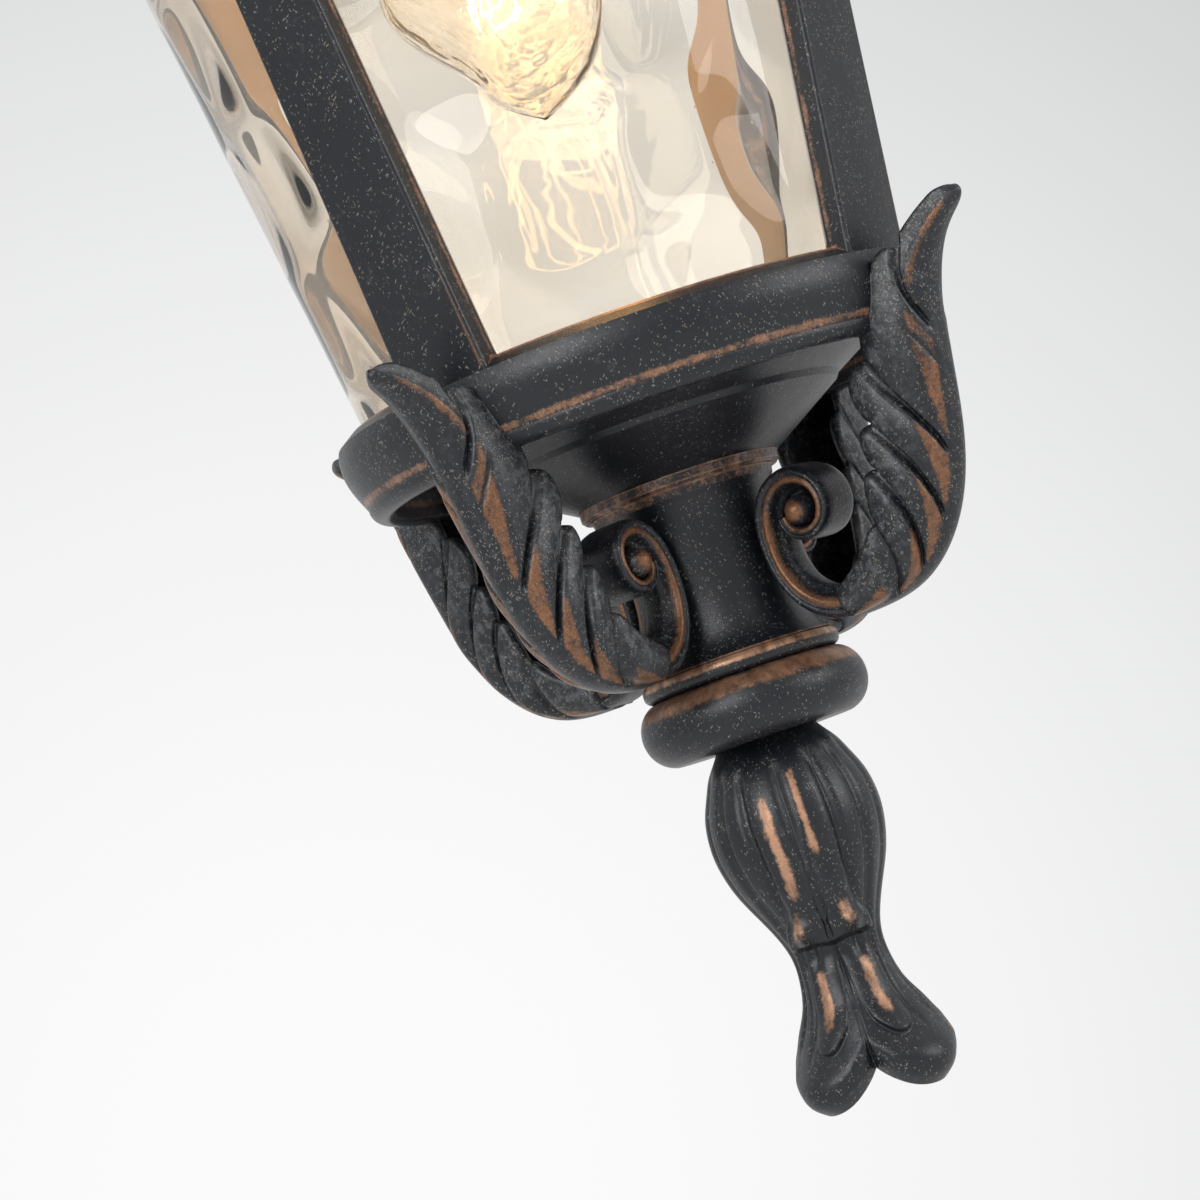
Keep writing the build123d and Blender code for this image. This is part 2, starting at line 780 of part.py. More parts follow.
# Neck: cast cove between the pan and the collar, hollow inside
with BuildPart() as bottom_neck:
    with BuildSketch(Plane.XZ):
        flange_low = pan_bottom - neck_flange_height
        waist_level = pan_bottom - neck_height * 0.45
        cavity_radius = neck_waist_radius - neck_wall
        with BuildLine():
            Polyline(
                (cavity_radius, pan_bottom),
                (neck_flange_radius, pan_bottom),
                (neck_flange_radius, flange_low + 0.8),
                (neck_flange_radius - 0.8, flange_low),
                (neck_flange_radius - 2.2, flange_low),
                (neck_flange_radius - 2.6, flange_low - 2.0),
            )
            Spline(
                (neck_flange_radius - 2.6, flange_low - 2.0),
                (neck_waist_radius, waist_level),
                (neck_foot_radius, neck_bottom),
                tangents=[(-0.8, -1), (1, -0.9)],
            )
            Polyline(
                (neck_foot_radius, neck_bottom),
                (rod_radius + fit_gap, neck_bottom),
                (rod_radius + fit_gap, neck_bottom + neck_wall),
                (cavity_radius, neck_bottom + neck_wall),
                (cavity_radius, pan_bottom),
            )
        make_face()
    revolve(axis=Axis.Z)
    for azimuth in post_azimuths:
        with BuildSketch(radial_plane(azimuth, cavity_radius - cut_over)):
            with Locations((0, band_top - scroll_bearing_drop)):
                Circle(screw_radius + fit_gap)
        extrude(amount=neck_wall + 2 * cut_over, mode=Mode.SUBTRACT)
finish(bottom_neck, "bottom_neck")

# Screws that hold each bracket, from inside the band and from inside the neck
screw_seats = [
    (leaf_bearing_drop, skirt_inner_radius, band_radius - skirt_inner_radius + bearing_length / 2),
    (scroll_bearing_drop, neck_waist_radius - neck_wall, neck_wall + scroll_wall * 0.8),
]
with BuildPart() as bracket_screws:
    for azimuth in post_azimuths:
        for drop, seat, reach in screw_seats:
            with BuildSketch(radial_plane(azimuth, seat)):
                with Locations((0, band_top - drop)):
                    Circle(screw_radius)
            extrude(amount=reach)
            with BuildSketch(radial_plane(azimuth, seat - head_gap)):
                with Locations((0, band_top - drop)):
                    Circle(screw_head_radius)
            extrude(amount=-screw_head_height)
            with BuildSketch(radial_plane(azimuth, seat)):
                with Locations((0, band_top - drop)):
                    Circle(screw_radius)
            extrude(amount=-head_gap)
finish(bracket_screws, "bracket_screws")

with BuildPart() as bead_ring:
    with BuildSketch(Plane.XY.offset(bead_bottom)):
        Circle(bead_radius)
        Circle(rod_radius + fit_gap, mode=Mode.SUBTRACT)
    extrude(amount=bead_height)
    fillet(bead_ring.edges().sort_by(Edge.length)[-2:], bead_height * 0.42)
finish(bead_ring, "bead_ring")

with BuildPart() as torus_collar:
    with BuildSketch(Plane.XZ):
        shoulder = bead_radius - 2.0
        with BuildLine():
            Line((rod_radius + fit_gap, bead_bottom), (shoulder, bead_bottom))
            Spline(
                (shoulder, bead_bottom),
                (torus_radius, bead_bottom - torus_height * 0.5),
                (shoulder - 0.5, torus_bottom),
                tangents=[(1, -0.25), (-1, -0.25)],
                tangent_scalars=[1.2, 1.2],
            )
            Polyline(
                (shoulder - 0.5, torus_bottom),
                (rod_radius + fit_gap, torus_bottom),
                (rod_radius + fit_gap, bead_bottom),
            )
        make_face()
    revolve(axis=Axis.Z)
finish(torus_collar, "torus_collar")

# Tie rod through the stack, with a washer and nut inside the pan
rod_top = pan_bottom + pan_wall + washer_thickness + nut_height + 4.0
rod_depth = 22.0
with BuildPart() as tie_rod:
    with BuildSketch(Plane.XY.offset(torus_bottom - rod_depth)):
        Circle(rod_radius)
    extrude(amount=rod_top - torus_bottom + rod_depth)
finish(tie_rod, "tie_rod")

with BuildPart() as tie_rod_washer:
    with BuildSketch(Plane.XY.offset(pan_bottom + pan_wall)):
        Circle(washer_radius)
        Circle(rod_radius + fit_gap, mode=Mode.SUBTRACT)
    extrude(amount=washer_thickness)
finish(tie_rod_washer, "tie_rod_washer")

with BuildPart() as tie_rod_nut:
    with BuildSketch(Plane.XY.offset(pan_bottom + pan_wall + washer_thickness)):
        RegularPolygon(rod_nut_flats / 2, 6, major_radius=False)
        Circle(rod_radius + fit_gap, mode=Mode.SUBTRACT)
    extrude(amount=nut_height + 1.0)
finish(tie_rod_nut, "tie_rod_nut")


def clover(radius, notch, level):
    """Face with four rounded petals: notch is the depth of the clefts."""
    with BuildSketch(Plane.XY.offset(level)) as section:
        with BuildLine():
            count = 32
            points = []
            for step in range(count):
                angle = 2 * pi * step / count
                reach = radius * (1 - notch * (0.5 + 0.5 * cos(4 * angle)) ** 2)
                turned = angle + radians(finial_turn)
                points.append((reach * cos(turned), reach * sin(turned)))
            Spline(*points, periodic=True)
        make_face()
    return section.sketch.face()


# Finial: fluted bulb over a waist that opens into four foot petals
with BuildPart() as finial:
    waist_level = torus_bottom - finial_height * 0.63
    bulb_level = torus_bottom - finial_height * 0.26
    with BuildSketch(Plane.XZ.rotated((0, 0, finial_turn + 180 / flute_count))):
        with BuildLine():
            Spline(
                (finial_top_radius, torus_bottom),
                (finial_bulb_radius, bulb_level),
                (finial_waist_radius + 1.5, torus_bottom - finial_height * 0.53),
                tangents=[(1, -0.8), (-0.55, -1)],
            )
            Polyline(
                (finial_waist_radius + 1.5, torus_bottom - finial_height * 0.53),
                (0, torus_bottom - finial_height * 0.53),
                (0, torus_bottom),
                (finial_top_radius, torus_bottom),
            )
        make_face()
    revolve(axis=Axis.Z)
    with BuildSketch(Plane.XZ) as flute:
        with BuildLine():
            low = torus_bottom - finial_height * 0.50
            Spline(
                (finial_top_radius + 1.5, torus_bottom - 4.0),
                (finial_bulb_radius - flute_depth, bulb_level),
                (finial_waist_radius + 2.6, low),
                tangents=[(1, -0.7), (-0.5, -1)],
            )
            Polyline(
                (finial_waist_radius + 2.6, low),
                (finial_bulb_radius + cut_over, low),
                (finial_bulb_radius + cut_over, torus_bottom - 4.0),
                (finial_top_radius + 1.5, torus_bottom - 4.0),
            )
        make_face()
    groove = extrude(flute.sketch, amount=flute_width / 2, both=True, mode=Mode.PRIVATE)
    with PolarLocations(0, flute_count, finial_turn):
        add(groove, mode=Mode.SUBTRACT)
    petals = [
        clover(finial_waist_radius + 1.2, 0.10, torus_bottom - finial_height * 0.45),
        clover(finial_waist_radius + 0.6, 0.16, waist_level),
        clover(finial_waist_radius + 2.6, 0.30, torus_bottom - finial_height * 0.77),
        clover(finial_foot_radius + 2.6, 0.48, torus_bottom - finial_height * 0.89),
        clover(finial_foot_radius + 3.4, 0.62, torus_bottom - finial_height * 0.96),
        clover(finial_foot_radius - 1.5, 0.72, finial_bottom),
    ]
    loft(petals)
    with BuildSketch(Plane.XZ) as cleft:
        with BuildLine():
            for side in (-1, 1):
                ThreePointArc(
                    (side * cleft_width / 2, finial_bottom - cut_over),
                    (side * cleft_seam, finial_bottom + cleft_height * 0.45),
                    (0, finial_bottom + cleft_height),
                )
            Line(
                (-cleft_width / 2, finial_bottom - cut_over),
                (cleft_width / 2, finial_bottom - cut_over),
            )
        make_face()
    groove = extrude(cleft.sketch, amount=finial_foot_radius * 1.5, both=True, mode=Mode.PRIVATE)
    with PolarLocations(0, 2, finial_turn):
        add(groove, mode=Mode.SUBTRACT)
    with BuildSketch(Plane.XY.offset(torus_bottom)):
        Circle(rod_radius + fit_gap)
    extrude(amount=-rod_depth - 1.0, mode=Mode.SUBTRACT)
finish(finial, "finial")


# Leaf brackets: outer line of the leaf from its curled tip to its foot
midrib_line = Spline(
    (band_radius + 26.0, 3.4),
    (band_radius + 18.0, -2.6),
    (band_radius + 12.0, -13.0),
    (band_radius + 7.8, -29.0),
    (band_radius + 4.2, -46.0),
    (band_radius - 4.6, -64.5),
    (scroll_eye_radius + 22.6, -75.6),
    (scroll_eye_radius + 4.6, -77.8),
)
leaf_half = leaf_width / 2

# Share of the leaf's run, then half width, depth and wall of its section there
leaf_stations = [
    (0.0, leaf_half * 0.24, leaf_depth * 0.22, leaf_wall * 0.5),
    (0.08, leaf_half * 0.56, leaf_depth * 0.55, leaf_wall * 0.7),
    (0.18, leaf_half * 0.84, leaf_depth * 0.80, leaf_wall * 0.8),
    (0.34, leaf_half, leaf_depth * 0.98, leaf_wall),
    (0.50, leaf_half, leaf_depth, leaf_wall),
    (0.68, leaf_half, leaf_depth * 0.92, leaf_wall),
    (0.85, leaf_half * 0.94, leaf_depth * 0.66, leaf_wall),
    (1.0, leaf_half * 0.78, leaf_depth * 0.28, leaf_wall * 0.9),
]


def leaf_frame(share):
    """Point on the midrib, the way along it and the way in to the lantern."""
    place = midrib_line @ share
    along = midrib_line % share
    return place, along, Vector(along.Y, -along.X)


def leaf_section(share, half, depth, wall):
    """Trough section across the leaf, open to the lantern."""
    place, along, inward = leaf_frame(share)
    section_plane = Plane(
        origin=(place.X, 0, place.Y + band_top),
        x_dir=(0, -1, 0),
        z_dir=(along.X, 0, along.Y),
    )
    with BuildSketch(section_plane) as section:
        with BuildLine():
            Spline((-half, depth), (0, 0), (half, depth), tangents=[(-0.12, -1), (-0.12, 1)])
            Line((half, depth), (half - wall, depth))
            Spline(
                (half - wall, depth),
                (0, wall),
                (wall - half, depth),
                tangents=[(-0.1, -1), (-0.1, 1)],
            )
            Line((wall - half, depth), (-half, depth))
        make_face()
    return section.sketch.face()


def lobe_slit(share, depth):
    """Corners of the slit above a lobe: its apex, curved back, mouth and lobe tip."""
    place, along, inward = leaf_frame(share)
    edge = place + inward * depth
    apex = edge - inward * lobe_slit_depth
    tip = edge - along * lobe_overhang + inward * cut_over
    back = edge - along * lobe_slit_width + inward * cut_over
    mouth = edge - along * lobe_slit_width * 0.45 - inward * lobe_slit_depth * 0.45
    return [(corner.X, corner.Y) for corner in (apex, mouth, back, tip)]


def scroll_point(turned, inset):
    """Point of the scroll's outer or inner line, after a turn in degrees."""
    angle = radians(-72 - turned)
    done = turned / (360 * scroll_turns)
    reach = scroll_outer - scroll_closing * done
    reach = reach + (scroll_reach - scroll_outer) * exp(-((turned / scroll_ease) ** 2))
    reach = reach - inset * (scroll_wall + (scroll_end_wall - scroll_wall) * done)
    return (scroll_eye_radius + reach * cos(angle), -scroll_eye_drop + reach * sin(angle))


# The leaf is made once, at azimuth 0, on the upright plane through the axis
upright = Plane(origin=(0, 0, band_top), x_dir=(1, 0, 0), z_dir=(0, -1, 0))
lobes = []
for lobe in range(leaf_lobes):
    share = first_lobe + (last_lobe - first_lobe) * lobe / (leaf_lobes - 1)
    nearest = min(leaf_stations, key=lambda station: abs(station[0] - share))
    lobes.append(lobe_slit(share, nearest[2]))

with BuildPart() as leaf_master:
    loft([leaf_section(*station) for station in leaf_stations])
    with BuildSketch(upright):
        for apex, mouth, back, tip in lobes:
            with BuildLine():
                ThreePointArc(apex, mouth, back)
                Polyline(back, tip, apex)
            make_face()
    extrude(amount=leaf_half + cut_over, both=True, mode=Mode.SUBTRACT)
    with BuildSketch(upright):
        with BuildLine():
            steps = 16
            run = 360 * scroll_turns
            rim = [scroll_point(run * step / steps, 0) for step in range(steps + 1)]
            bed = [scroll_point(run * step / steps, 1) for step in range(steps + 1)]
            Spline(*rim)
            Line(rim[-1], bed[-1])
            Spline(*bed[::-1])
            Line(bed[0], rim[0])
        make_face()
    extrude(amount=scroll_width / 2, both=True)
    with BuildSketch(upright):
        with Locations((scroll_eye_radius, -scroll_eye_drop)):
            Circle(scroll_eye_size)
    extrude(amount=scroll_width / 2 + scroll_eye_stand, both=True)
    with BuildSketch(upright):
        with Locations((band_radius + bearing_length / 2, -leaf_bearing_drop)):
            Rectangle(bearing_length, bearing_height)
    extrude(amount=bearing_width / 2, both=True)
    for drop, seat, reach in screw_seats:
        with BuildSketch(radial_plane(0, seat)):
            with Locations((0, band_top - drop)):
                Circle(screw_radius + fit_gap)
        extrude(amount=reach + fit_gap, mode=Mode.SUBTRACT)
    with BuildSketch(Plane.XZ):
        with BuildLine():
            seat = band_rim(fit_gap)
            seat_foot = (seat[-1][0], skirt_bottom - fit_gap)
            above = band_top + 25.0
            Spline(*seat, tangents=[(0.4, -1), (-0.45, -1)])
            Polyline(
                seat[-1],
                seat_foot,
                (ledge_inner_radius, seat_foot[1]),
                (ledge_inner_radius, above),
                (on_cage(band_radius + fit_gap, above), above),
                seat[0],
            )
        make_face()
    revolve(axis=Axis.Z, mode=Mode.SUBTRACT)

corners = {"front_right": -45, "back_right": 45, "back_left": 135, "front_left": 225}
for corner, azimuth in corners.items():
    with BuildPart() as leaf_bracket:
        add(leaf_master.part, rotation=(0, 0, azimuth))
    finish(leaf_bracket, f"leaf_bracket_{corner}")
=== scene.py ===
"""Dresses the chain hanging lantern: cast finish, glass, leaves, finial, lamp and studio."""

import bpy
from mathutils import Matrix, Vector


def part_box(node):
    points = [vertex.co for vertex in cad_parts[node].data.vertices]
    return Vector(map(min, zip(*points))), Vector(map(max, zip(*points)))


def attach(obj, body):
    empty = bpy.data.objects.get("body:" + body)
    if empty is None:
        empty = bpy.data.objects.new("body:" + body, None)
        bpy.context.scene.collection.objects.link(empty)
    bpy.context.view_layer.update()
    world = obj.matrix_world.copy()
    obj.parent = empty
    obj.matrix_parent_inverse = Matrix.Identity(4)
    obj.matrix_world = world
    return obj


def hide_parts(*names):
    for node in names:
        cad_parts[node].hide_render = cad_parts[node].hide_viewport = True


bl_info = {
    "name": "Chain Hanging Lantern",
    "version": (1, 0, 0),
    "blender": (4, 5, 0),
    "location": "View3D > Sidebar > Lantern",
    "description": "Builds the looks of a chain hanging lantern around its packed solids",
    "category": "Object",
}

import math

import bpy
import numpy as np
from bpy.props import FloatProperty, FloatVectorProperty, IntProperty, PointerProperty
from mathutils import Matrix, Vector

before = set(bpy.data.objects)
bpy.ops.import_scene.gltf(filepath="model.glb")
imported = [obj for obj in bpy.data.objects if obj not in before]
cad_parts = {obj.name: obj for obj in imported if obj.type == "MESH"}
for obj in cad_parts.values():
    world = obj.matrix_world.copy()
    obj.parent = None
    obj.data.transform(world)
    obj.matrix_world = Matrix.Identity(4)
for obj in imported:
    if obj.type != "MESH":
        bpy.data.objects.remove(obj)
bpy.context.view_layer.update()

MM = 0.001
GLASS_SEAT = 4 * MM
BAND_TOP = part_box("glass_chimney")[0].z + GLASS_SEAT
CORNERS = {"front_right": -45, "back_right": 45, "back_left": 135, "front_left": 225}


# Shader maths


class Wire:
    """A socket of a node tree; sums and products of wires add Math nodes."""

    def __init__(self, tree, socket):
        self.tree = tree
        self.socket = socket

    def other(self, name):
        """Another output of the same node."""
        return Wire(self.tree, self.socket.node.outputs[name])

    def combine(self, operation, first, second):
        """Math node of one operation on two values or wires."""
        node = self.tree.nodes.new("ShaderNodeMath")
        node.operation = operation
        for slot, value in enumerate((first, second)):
            if isinstance(value, Wire):
                self.tree.links.new(value.socket, node.inputs[slot])
            else:
                node.inputs[slot].default_value = value
        return Wire(self.tree, node.outputs[0])

    def __add__(self, value):
        return self.combine("ADD", self, value)

    def __radd__(self, value):
        return self.combine("ADD", value, self)

    def __sub__(self, value):
        return self.combine("SUBTRACT", self, value)

    def __rsub__(self, value):
        return self.combine("SUBTRACT", value, self)

    def __mul__(self, value):
        return self.combine("MULTIPLY", self, value)

    def __rmul__(self, value):
        return self.combine("MULTIPLY", value, self)

    def __truediv__(self, value):
        return self.combine("DIVIDE", self, value)

    def __pow__(self, value):
        return self.combine("POWER", self, value)

    def __lt__(self, value):
        return self.combine("LESS_THAN", self, value)

    def least(self, value):
        """The smaller of this and another value or wire."""
        return self.combine("MINIMUM", self, value)

    def most(self, value):
        """The larger of this and another value or wire."""
        return self.combine("MAXIMUM", self, value)


class Finish:
    """One material or world: its tree, its coordinates and the nodes in it."""

    def __init__(self, name, world=False):
        self.block = bpy.data.worlds.new(name) if world else bpy.data.materials.new(name)
        self.block.use_nodes = True
        self.tree = self.block.node_tree
        self.tree.nodes.clear()
        if not world:
            self.place = self.node("TexCoord").other("Object")

    def node(self, kind, settings=None, sockets=None, output=0):
        """Node of a type: its settings first, then the values or links of its sockets."""
        made = self.tree.nodes.new("ShaderNode" + kind)
        for name, value in (settings or {}).items():
            if name == "stops":
                first, *between, last = value
                ramp = made.color_ramp
                ramp.elements[0].position, ramp.elements[0].color = first
                ramp.elements[1].position, ramp.elements[1].color = last
                for position, colour in between:
                    ramp.elements.new(position).color = colour
            else:
                setattr(made, name, value)
        for name, value in (sockets or {}).items():
            socket = made.inputs[name]
            if isinstance(value, Wire):
                self.tree.links.new(value.socket, socket)
            elif socket.type == "RGBA":
                socket.default_value = (*value[:3], 1.0)
            else:
                socket.default_value = value
        return Wire(self.tree, made.outputs[output]) if made.outputs else made

    def noise(self, per_metre, detail=3.0, place=None, roughness=0.5):
        """Noise between 0 and 1, with so many features to the metre."""
        sockets = {
            "Vector": place or self.place,
            "Scale": per_metre,
            "Detail": detail,
            "Roughness": roughness,
        }
        return self.node("TexNoise", {}, sockets)

    def rise(self, value, low, high):
        """Smooth step from 0 at low to 1 at high."""
        sockets = {"Value": value, "From Min": low, "From Max": high}
        return self.node("MapRange", {"interpolation_type": "SMOOTHSTEP"}, sockets)

    def mix(self, share, first, second):
        """Colour between two colours."""
        sockets = {0: share, 6: first, 7: second}
        return self.node("Mix", {"data_type": "RGBA"}, sockets, 2)

    def vector(self, operation, first, second):
        """Vector Math node of one operation."""
        return self.node("VectorMath", {"operation": operation}, {0: first, 1: second})

    def measure(self, operation, *vectors):
        """Number that a Vector Math node of one operation gives."""
        sockets = dict(enumerate(vectors))
        return self.node("VectorMath", {"operation": operation}, sockets).other("Value")

    def facing(self):
        """How far the surface turns away from the eye: 0 face on, 1 at the outline."""
        return self.node("LayerWeight", {}, {"Blend": 0.5}).other("Facing")

    def ray_share(self, *kinds):
        """1 for the rays of the named kinds and 0 for the others."""
        path = self.node("LightPath")
        first, *others = (path.other(kind) for kind in kinds)
        return sum(others, first).least(1.0)

    def part_of(self, place, axis):
        """One coordinate of a place."""
        return self.node("SeparateXYZ", {}, {"Vector": place}).other(axis)

    def bump(self, height, depth, normal=None):
        """Normal of a surface that a height between 0 and 1 raises by a depth."""
        sockets = {"Height": height, "Distance": depth, "Strength": 1.0}
        if normal:
            sockets["Normal"] = normal
        return self.node("Bump", {}, sockets)

    def metal_or_paint(self, **sockets):
        """Principled shader on the surface output."""
        named = {name.replace("_", " "): value for name, value in sockets.items()}
        return self.surface(self.node("BsdfPrincipled", {}, named))

    def surface(self, shader):
        """Shader on the surface output; gives the finished block back."""
        self.node("OutputMaterial", {}, {"Surface": shader})
        return self.block


def dashes(look, length, width, turn, kept):
    """Mask of short light dashes that lie one way, kept in a share of their cells."""
    waver = look.noise(900.0, 1.0).other("Color")
    sway = (width * 1.6,) * 3
    bending = {"operation": "MULTIPLY_ADD"}
    bent = look.node("VectorMath", bending, {0: waver, 1: sway, 2: look.place})
    sockets = {"Vector": bent, "Rotation": turn}
    turned = look.node("VectorRotate", {"rotation_type": "EULER_XYZ"}, sockets)
    stretched = look.vector("MULTIPLY", turned, (1 / length, 1 / width, 1 / width))
    cell = look.node("TexVoronoi", {}, {"Vector": stretched, "Scale": 1.0})
    chance = look.part_of(cell.other("Color"), "X")
    return (1 - look.rise(cell, 0.26, 0.40)) * (chance < kept)


def edge_wear(look, radius):
    """Mask of the sharp edges within a radius."""
    rounded = look.node("Bevel", {"samples": 6}, {"Radius": radius})
    sharp = look.node("NewGeometry").other("Normal")
    return look.rise(1 - look.measure("DOT_PRODUCT", rounded, sharp), 0.015, 0.12)


def level_band(look, low, high, soft):
    """Mask of a band of height, measured from the band's top edge."""
    level = look.part_of(look.place, "Z") - BAND_TOP
    over = look.rise(level, low - soft, low + soft)
    return over * (1 - look.rise(level, high - soft, high + soft))


def cast_finish(name, rub, inner=None, powder=None, flecks=1.0, bright=0.7, grainy=0.6, brown=0.0):
    """Bluish black cast finish with light flecks, rubbed to copper where the mask is high.

    inner masks the inner faces that painted lamplight turns taupe, and the other mask the carved places
    greyed by dust and by painted light.
    bright, grainy and brown say how bright, how speckled and how brown the copper is.
    """
    sizes = bpy.context.scene.lantern_cast
    look = Finish(name)
    lumps = look.noise(70.0, 4.0)
    grain = look.noise(1400.0, 4.0, roughness=0.65)
    patches = look.noise(38.0, 3.0)
    scuff = look.noise(420.0, 5.0, roughness=0.7)
    dark = tuple(channel * 0.6 for channel in sizes.charcoal)
    base = look.mix(lumps, dark, sizes.charcoal)

    dust = look.rise(scuff, 0.54, 0.70) * look.rise(patches, 0.46, 0.66)
    base = look.mix(dust * 0.45, base, sizes.dust)
    # Dust and painted light: mottled grey on the carved places where their mask is high.
    if powder:
        cover = powder(look) * (look.rise(scuff, 0.46, 0.62) * 0.75 + 0.08)
        base = look.mix(cover, base, sizes.powder)

    cluster = look.rise(look.noise(95.0, 2.0), 0.36, 0.70)
    kept = (cluster * 0.7 + 0.3) * sizes.fleck_share * flecks
    length, width = sizes.fleck_length, sizes.fleck_width
    streaks = dashes(look, length, width, (0.3, 0.5, 0.9), kept)
    crossing = dashes(look, length * 0.8, width, (1.2, -0.7, 2.3), kept)
    upright = dashes(look, length * 0.6, width * 0.9, (2.1, 1.4, -0.4), kept)
    marks = streaks.most(crossing).most(upright)
    tone = look.rise(look.noise(260.0, 1.0), 0.40, 0.60)
    base = look.mix(marks * sizes.fleck_strength, base, look.mix(tone, sizes.fleck, sizes.fleck_warm))

    ragged = look.noise(760.0, 6.0, roughness=0.75)
    broad = look.noise(120.0, 3.0)
    level = rub(look) * sizes.rub + (ragged - 0.5) * 1.15 + (broad - 0.5) * 0.8
    rubbed = look.rise(level, 0.34, 0.80)
    speckle = look.rise(look.noise(1900.0, 4.0, roughness=0.75), 0.36, 0.62)
    brushed = look.vector("MULTIPLY", look.place, (1.0, 1.0, 0.35))
    cloud = look.rise(look.noise(330.0, 4.0, place=brushed), 0.28, 0.66)
    glint = (speckle * grainy + cloud * (1 - grainy)) * bright
    hue = tuple(a * (1 - brown) + b * brown for a, b in zip(sizes.copper, sizes.copper_brown))
    base = look.mix(rubbed, base, look.mix(glint, sizes.copper_dark, hue))
    # Painted lamplight: the masked inner faces turn taupe.
    if inner:
        base = look.mix(inner(look), base, sizes.inner)

    rough = look.rise(grain, 0.2, 0.8) * 0.12 + sizes.roughness + (lumps - 0.5) * 0.10
    height = grain * 0.45 + scuff * 0.35 + lumps * 1.2
    return look.metal_or_paint(
        Base_Color=base,
        Metallic=rubbed * 0.35,
        Roughness=rough,
        Specular_IOR_Level=sizes.specular,
        Normal=look.bump(height, sizes.grain_depth),
    )


def turned_rub(low, high, soft=0.6 * MM, edges=0.75, strength=0.75):
    """Rub mask for a turned piece: a band of height together with its edges."""

    def mask(look):
        band = level_band(look, low, high, soft)
        return band * strength + edge_wear(look, 1.0 * MM) * edges

    return mask


def edge_rub(strength, radius=0.9 * MM):
    """Rub mask that follows edges alone."""

    def mask(look):
        return edge_wear(look, radius) * strength

    return mask


def carved(attribute):
    """Mask that a carved piece carries in its own points."""

    def mask(look):
        return look.node("Attribute", {"attribute_name": attribute}).other("Fac")

    return mask


# Mesh maths


def smooth(value, low, high):
    """Smooth step of an array from 0 at low to 1 at high."""
    share = np.clip((np.asarray(value, float) - low) / (high - low), 0.0, 1.0)
    return share * share * (3 - 2 * share)


def hump(value, centre, width):
    """Bell of height 1 round a centre."""
    return np.exp(-(((np.asarray(value, float) - centre) / width) ** 2))


def curve_through(places, values):
    """Natural cubic curve through values at rising places; gives a function of an array."""
    x = np.asarray(places, float)
    y = np.asarray(values, float)
    if y.ndim == 1:
        y = y[:, None]
    count = len(x)
    step = np.diff(x)
    matrix = np.zeros((count, count))
    right = np.zeros_like(y)
    matrix[0, 0] = matrix[-1, -1] = 1.0
    for i in range(1, count - 1):
        matrix[i, i - 1 : i + 2] = step[i - 1], 2 * (step[i - 1] + step[i]), step[i]
        right[i] = 6 * ((y[i + 1] - y[i]) / step[i] - (y[i] - y[i - 1]) / step[i - 1])
    bend = np.linalg.solve(matrix, right)

    def at(where):
        where = np.asarray(where, float)
        i = np.clip(np.searchsorted(x, where, side="right") - 1, 0, count - 2)
        h = step[i][..., None]
        a = (x[i + 1] - where)[..., None] / h
        b = (where - x[i])[..., None] / h
        line = a * y[i] + b * y[i + 1]
        curved = ((a**3 - a) * bend[i] + (b**3 - b) * bend[i + 1]) * h**2 / 6
        result = line + curved
        return result[..., 0] if result.shape[-1] == 1 else result

    return at


def grid_faces(rows, columns, closed, start=0):
    """Quads of a grid of points kept row by row, closed round its columns if asked."""
    last = columns if closed else columns - 1
    row, column = np.meshgrid(np.arange(rows - 1), np.arange(last), indexing="ij")
    right = (column + 1) % columns
    near = start + row * columns
    far = near + columns
    quads = np.stack((near + column, near + right, far + right, far + column), -1)
    return quads.reshape(-1, 4).tolist()


def fan_faces(ring, centre, flip=False):
    """Triangles from a ring of point numbers to one centre point."""
    pairs = [(ring[i], ring[(i + 1) % len(ring)]) for i in range(len(ring))]
    return [(b, a, centre) if flip else (a, b, centre) for a, b in pairs]


def capped(grid, masks, ends=None):
    """Points, faces and masks of rings of points, closed at both ends by a fan to a middle."""
    total = grid.shape[1]
    points = grid.reshape(-1, 3)
    count = len(points)
    faces = grid_faces(len(grid), total, True)
    faces += fan_faces(range(total), count, True)
    faces += fan_faces(range(count - total, count), count + 1)
    if ends is None:
        ends = (points[:total].mean(0), points[-total:].mean(0))
    masks = [np.concatenate((mask.reshape(-1), [0, 0])) for mask in masks]
    return np.concatenate((points, ends)), faces, masks


def about_axis(reach, angle, level):
    """Points at a radius, an angle and a height."""
    reach, angle, level = np.broadcast_arrays(reach, angle, level)
    return np.stack((reach * np.cos(angle), reach * np.sin(angle), level), -1)


def make_piece(name, points, faces, masks, material, node):
    """Mesh object from points in metres that rides on the lantern and stands for a CAD node."""
    mesh = bpy.data.meshes.new(name)
    mesh.from_pydata(points.tolist(), [], faces)
    mesh.update()
    for mask, values in masks.items():
        attribute = mesh.attributes.new(mask, "FLOAT", "POINT")
        attribute.data.foreach_set("value", values.astype(np.float32))
    mesh.polygons.foreach_set("use_smooth", np.ones(len(mesh.polygons), bool))
    mesh.materials.append(material)
    piece = bpy.data.objects.new(name, mesh)
    bpy.context.scene.collection.objects.link(piece)
    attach(piece, "lantern")
    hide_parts(node)


def dress(material, *names):
    """Material on every slot of CAD nodes that stay."""
    for name in names:
        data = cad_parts[name].data
        if not data.materials:
            data.materials.append(material)
        for index in range(len(data.materials)):
            data.materials[index] = material


# Leaf brackets

# The leaf's outer line from its curled tip to its foot, out from the axis and
# up from the band's top edge, in millimetres.
MIDRIB = (
    (101.0, 3.4),
    (93.0, -2.6),
    (87.0, -13.0),
    (82.8, -29.0),
    (79.2, -46.0),
    (70.4, -64.5),
    (56.0, -75.6),
    (38.0, -77.8),
)
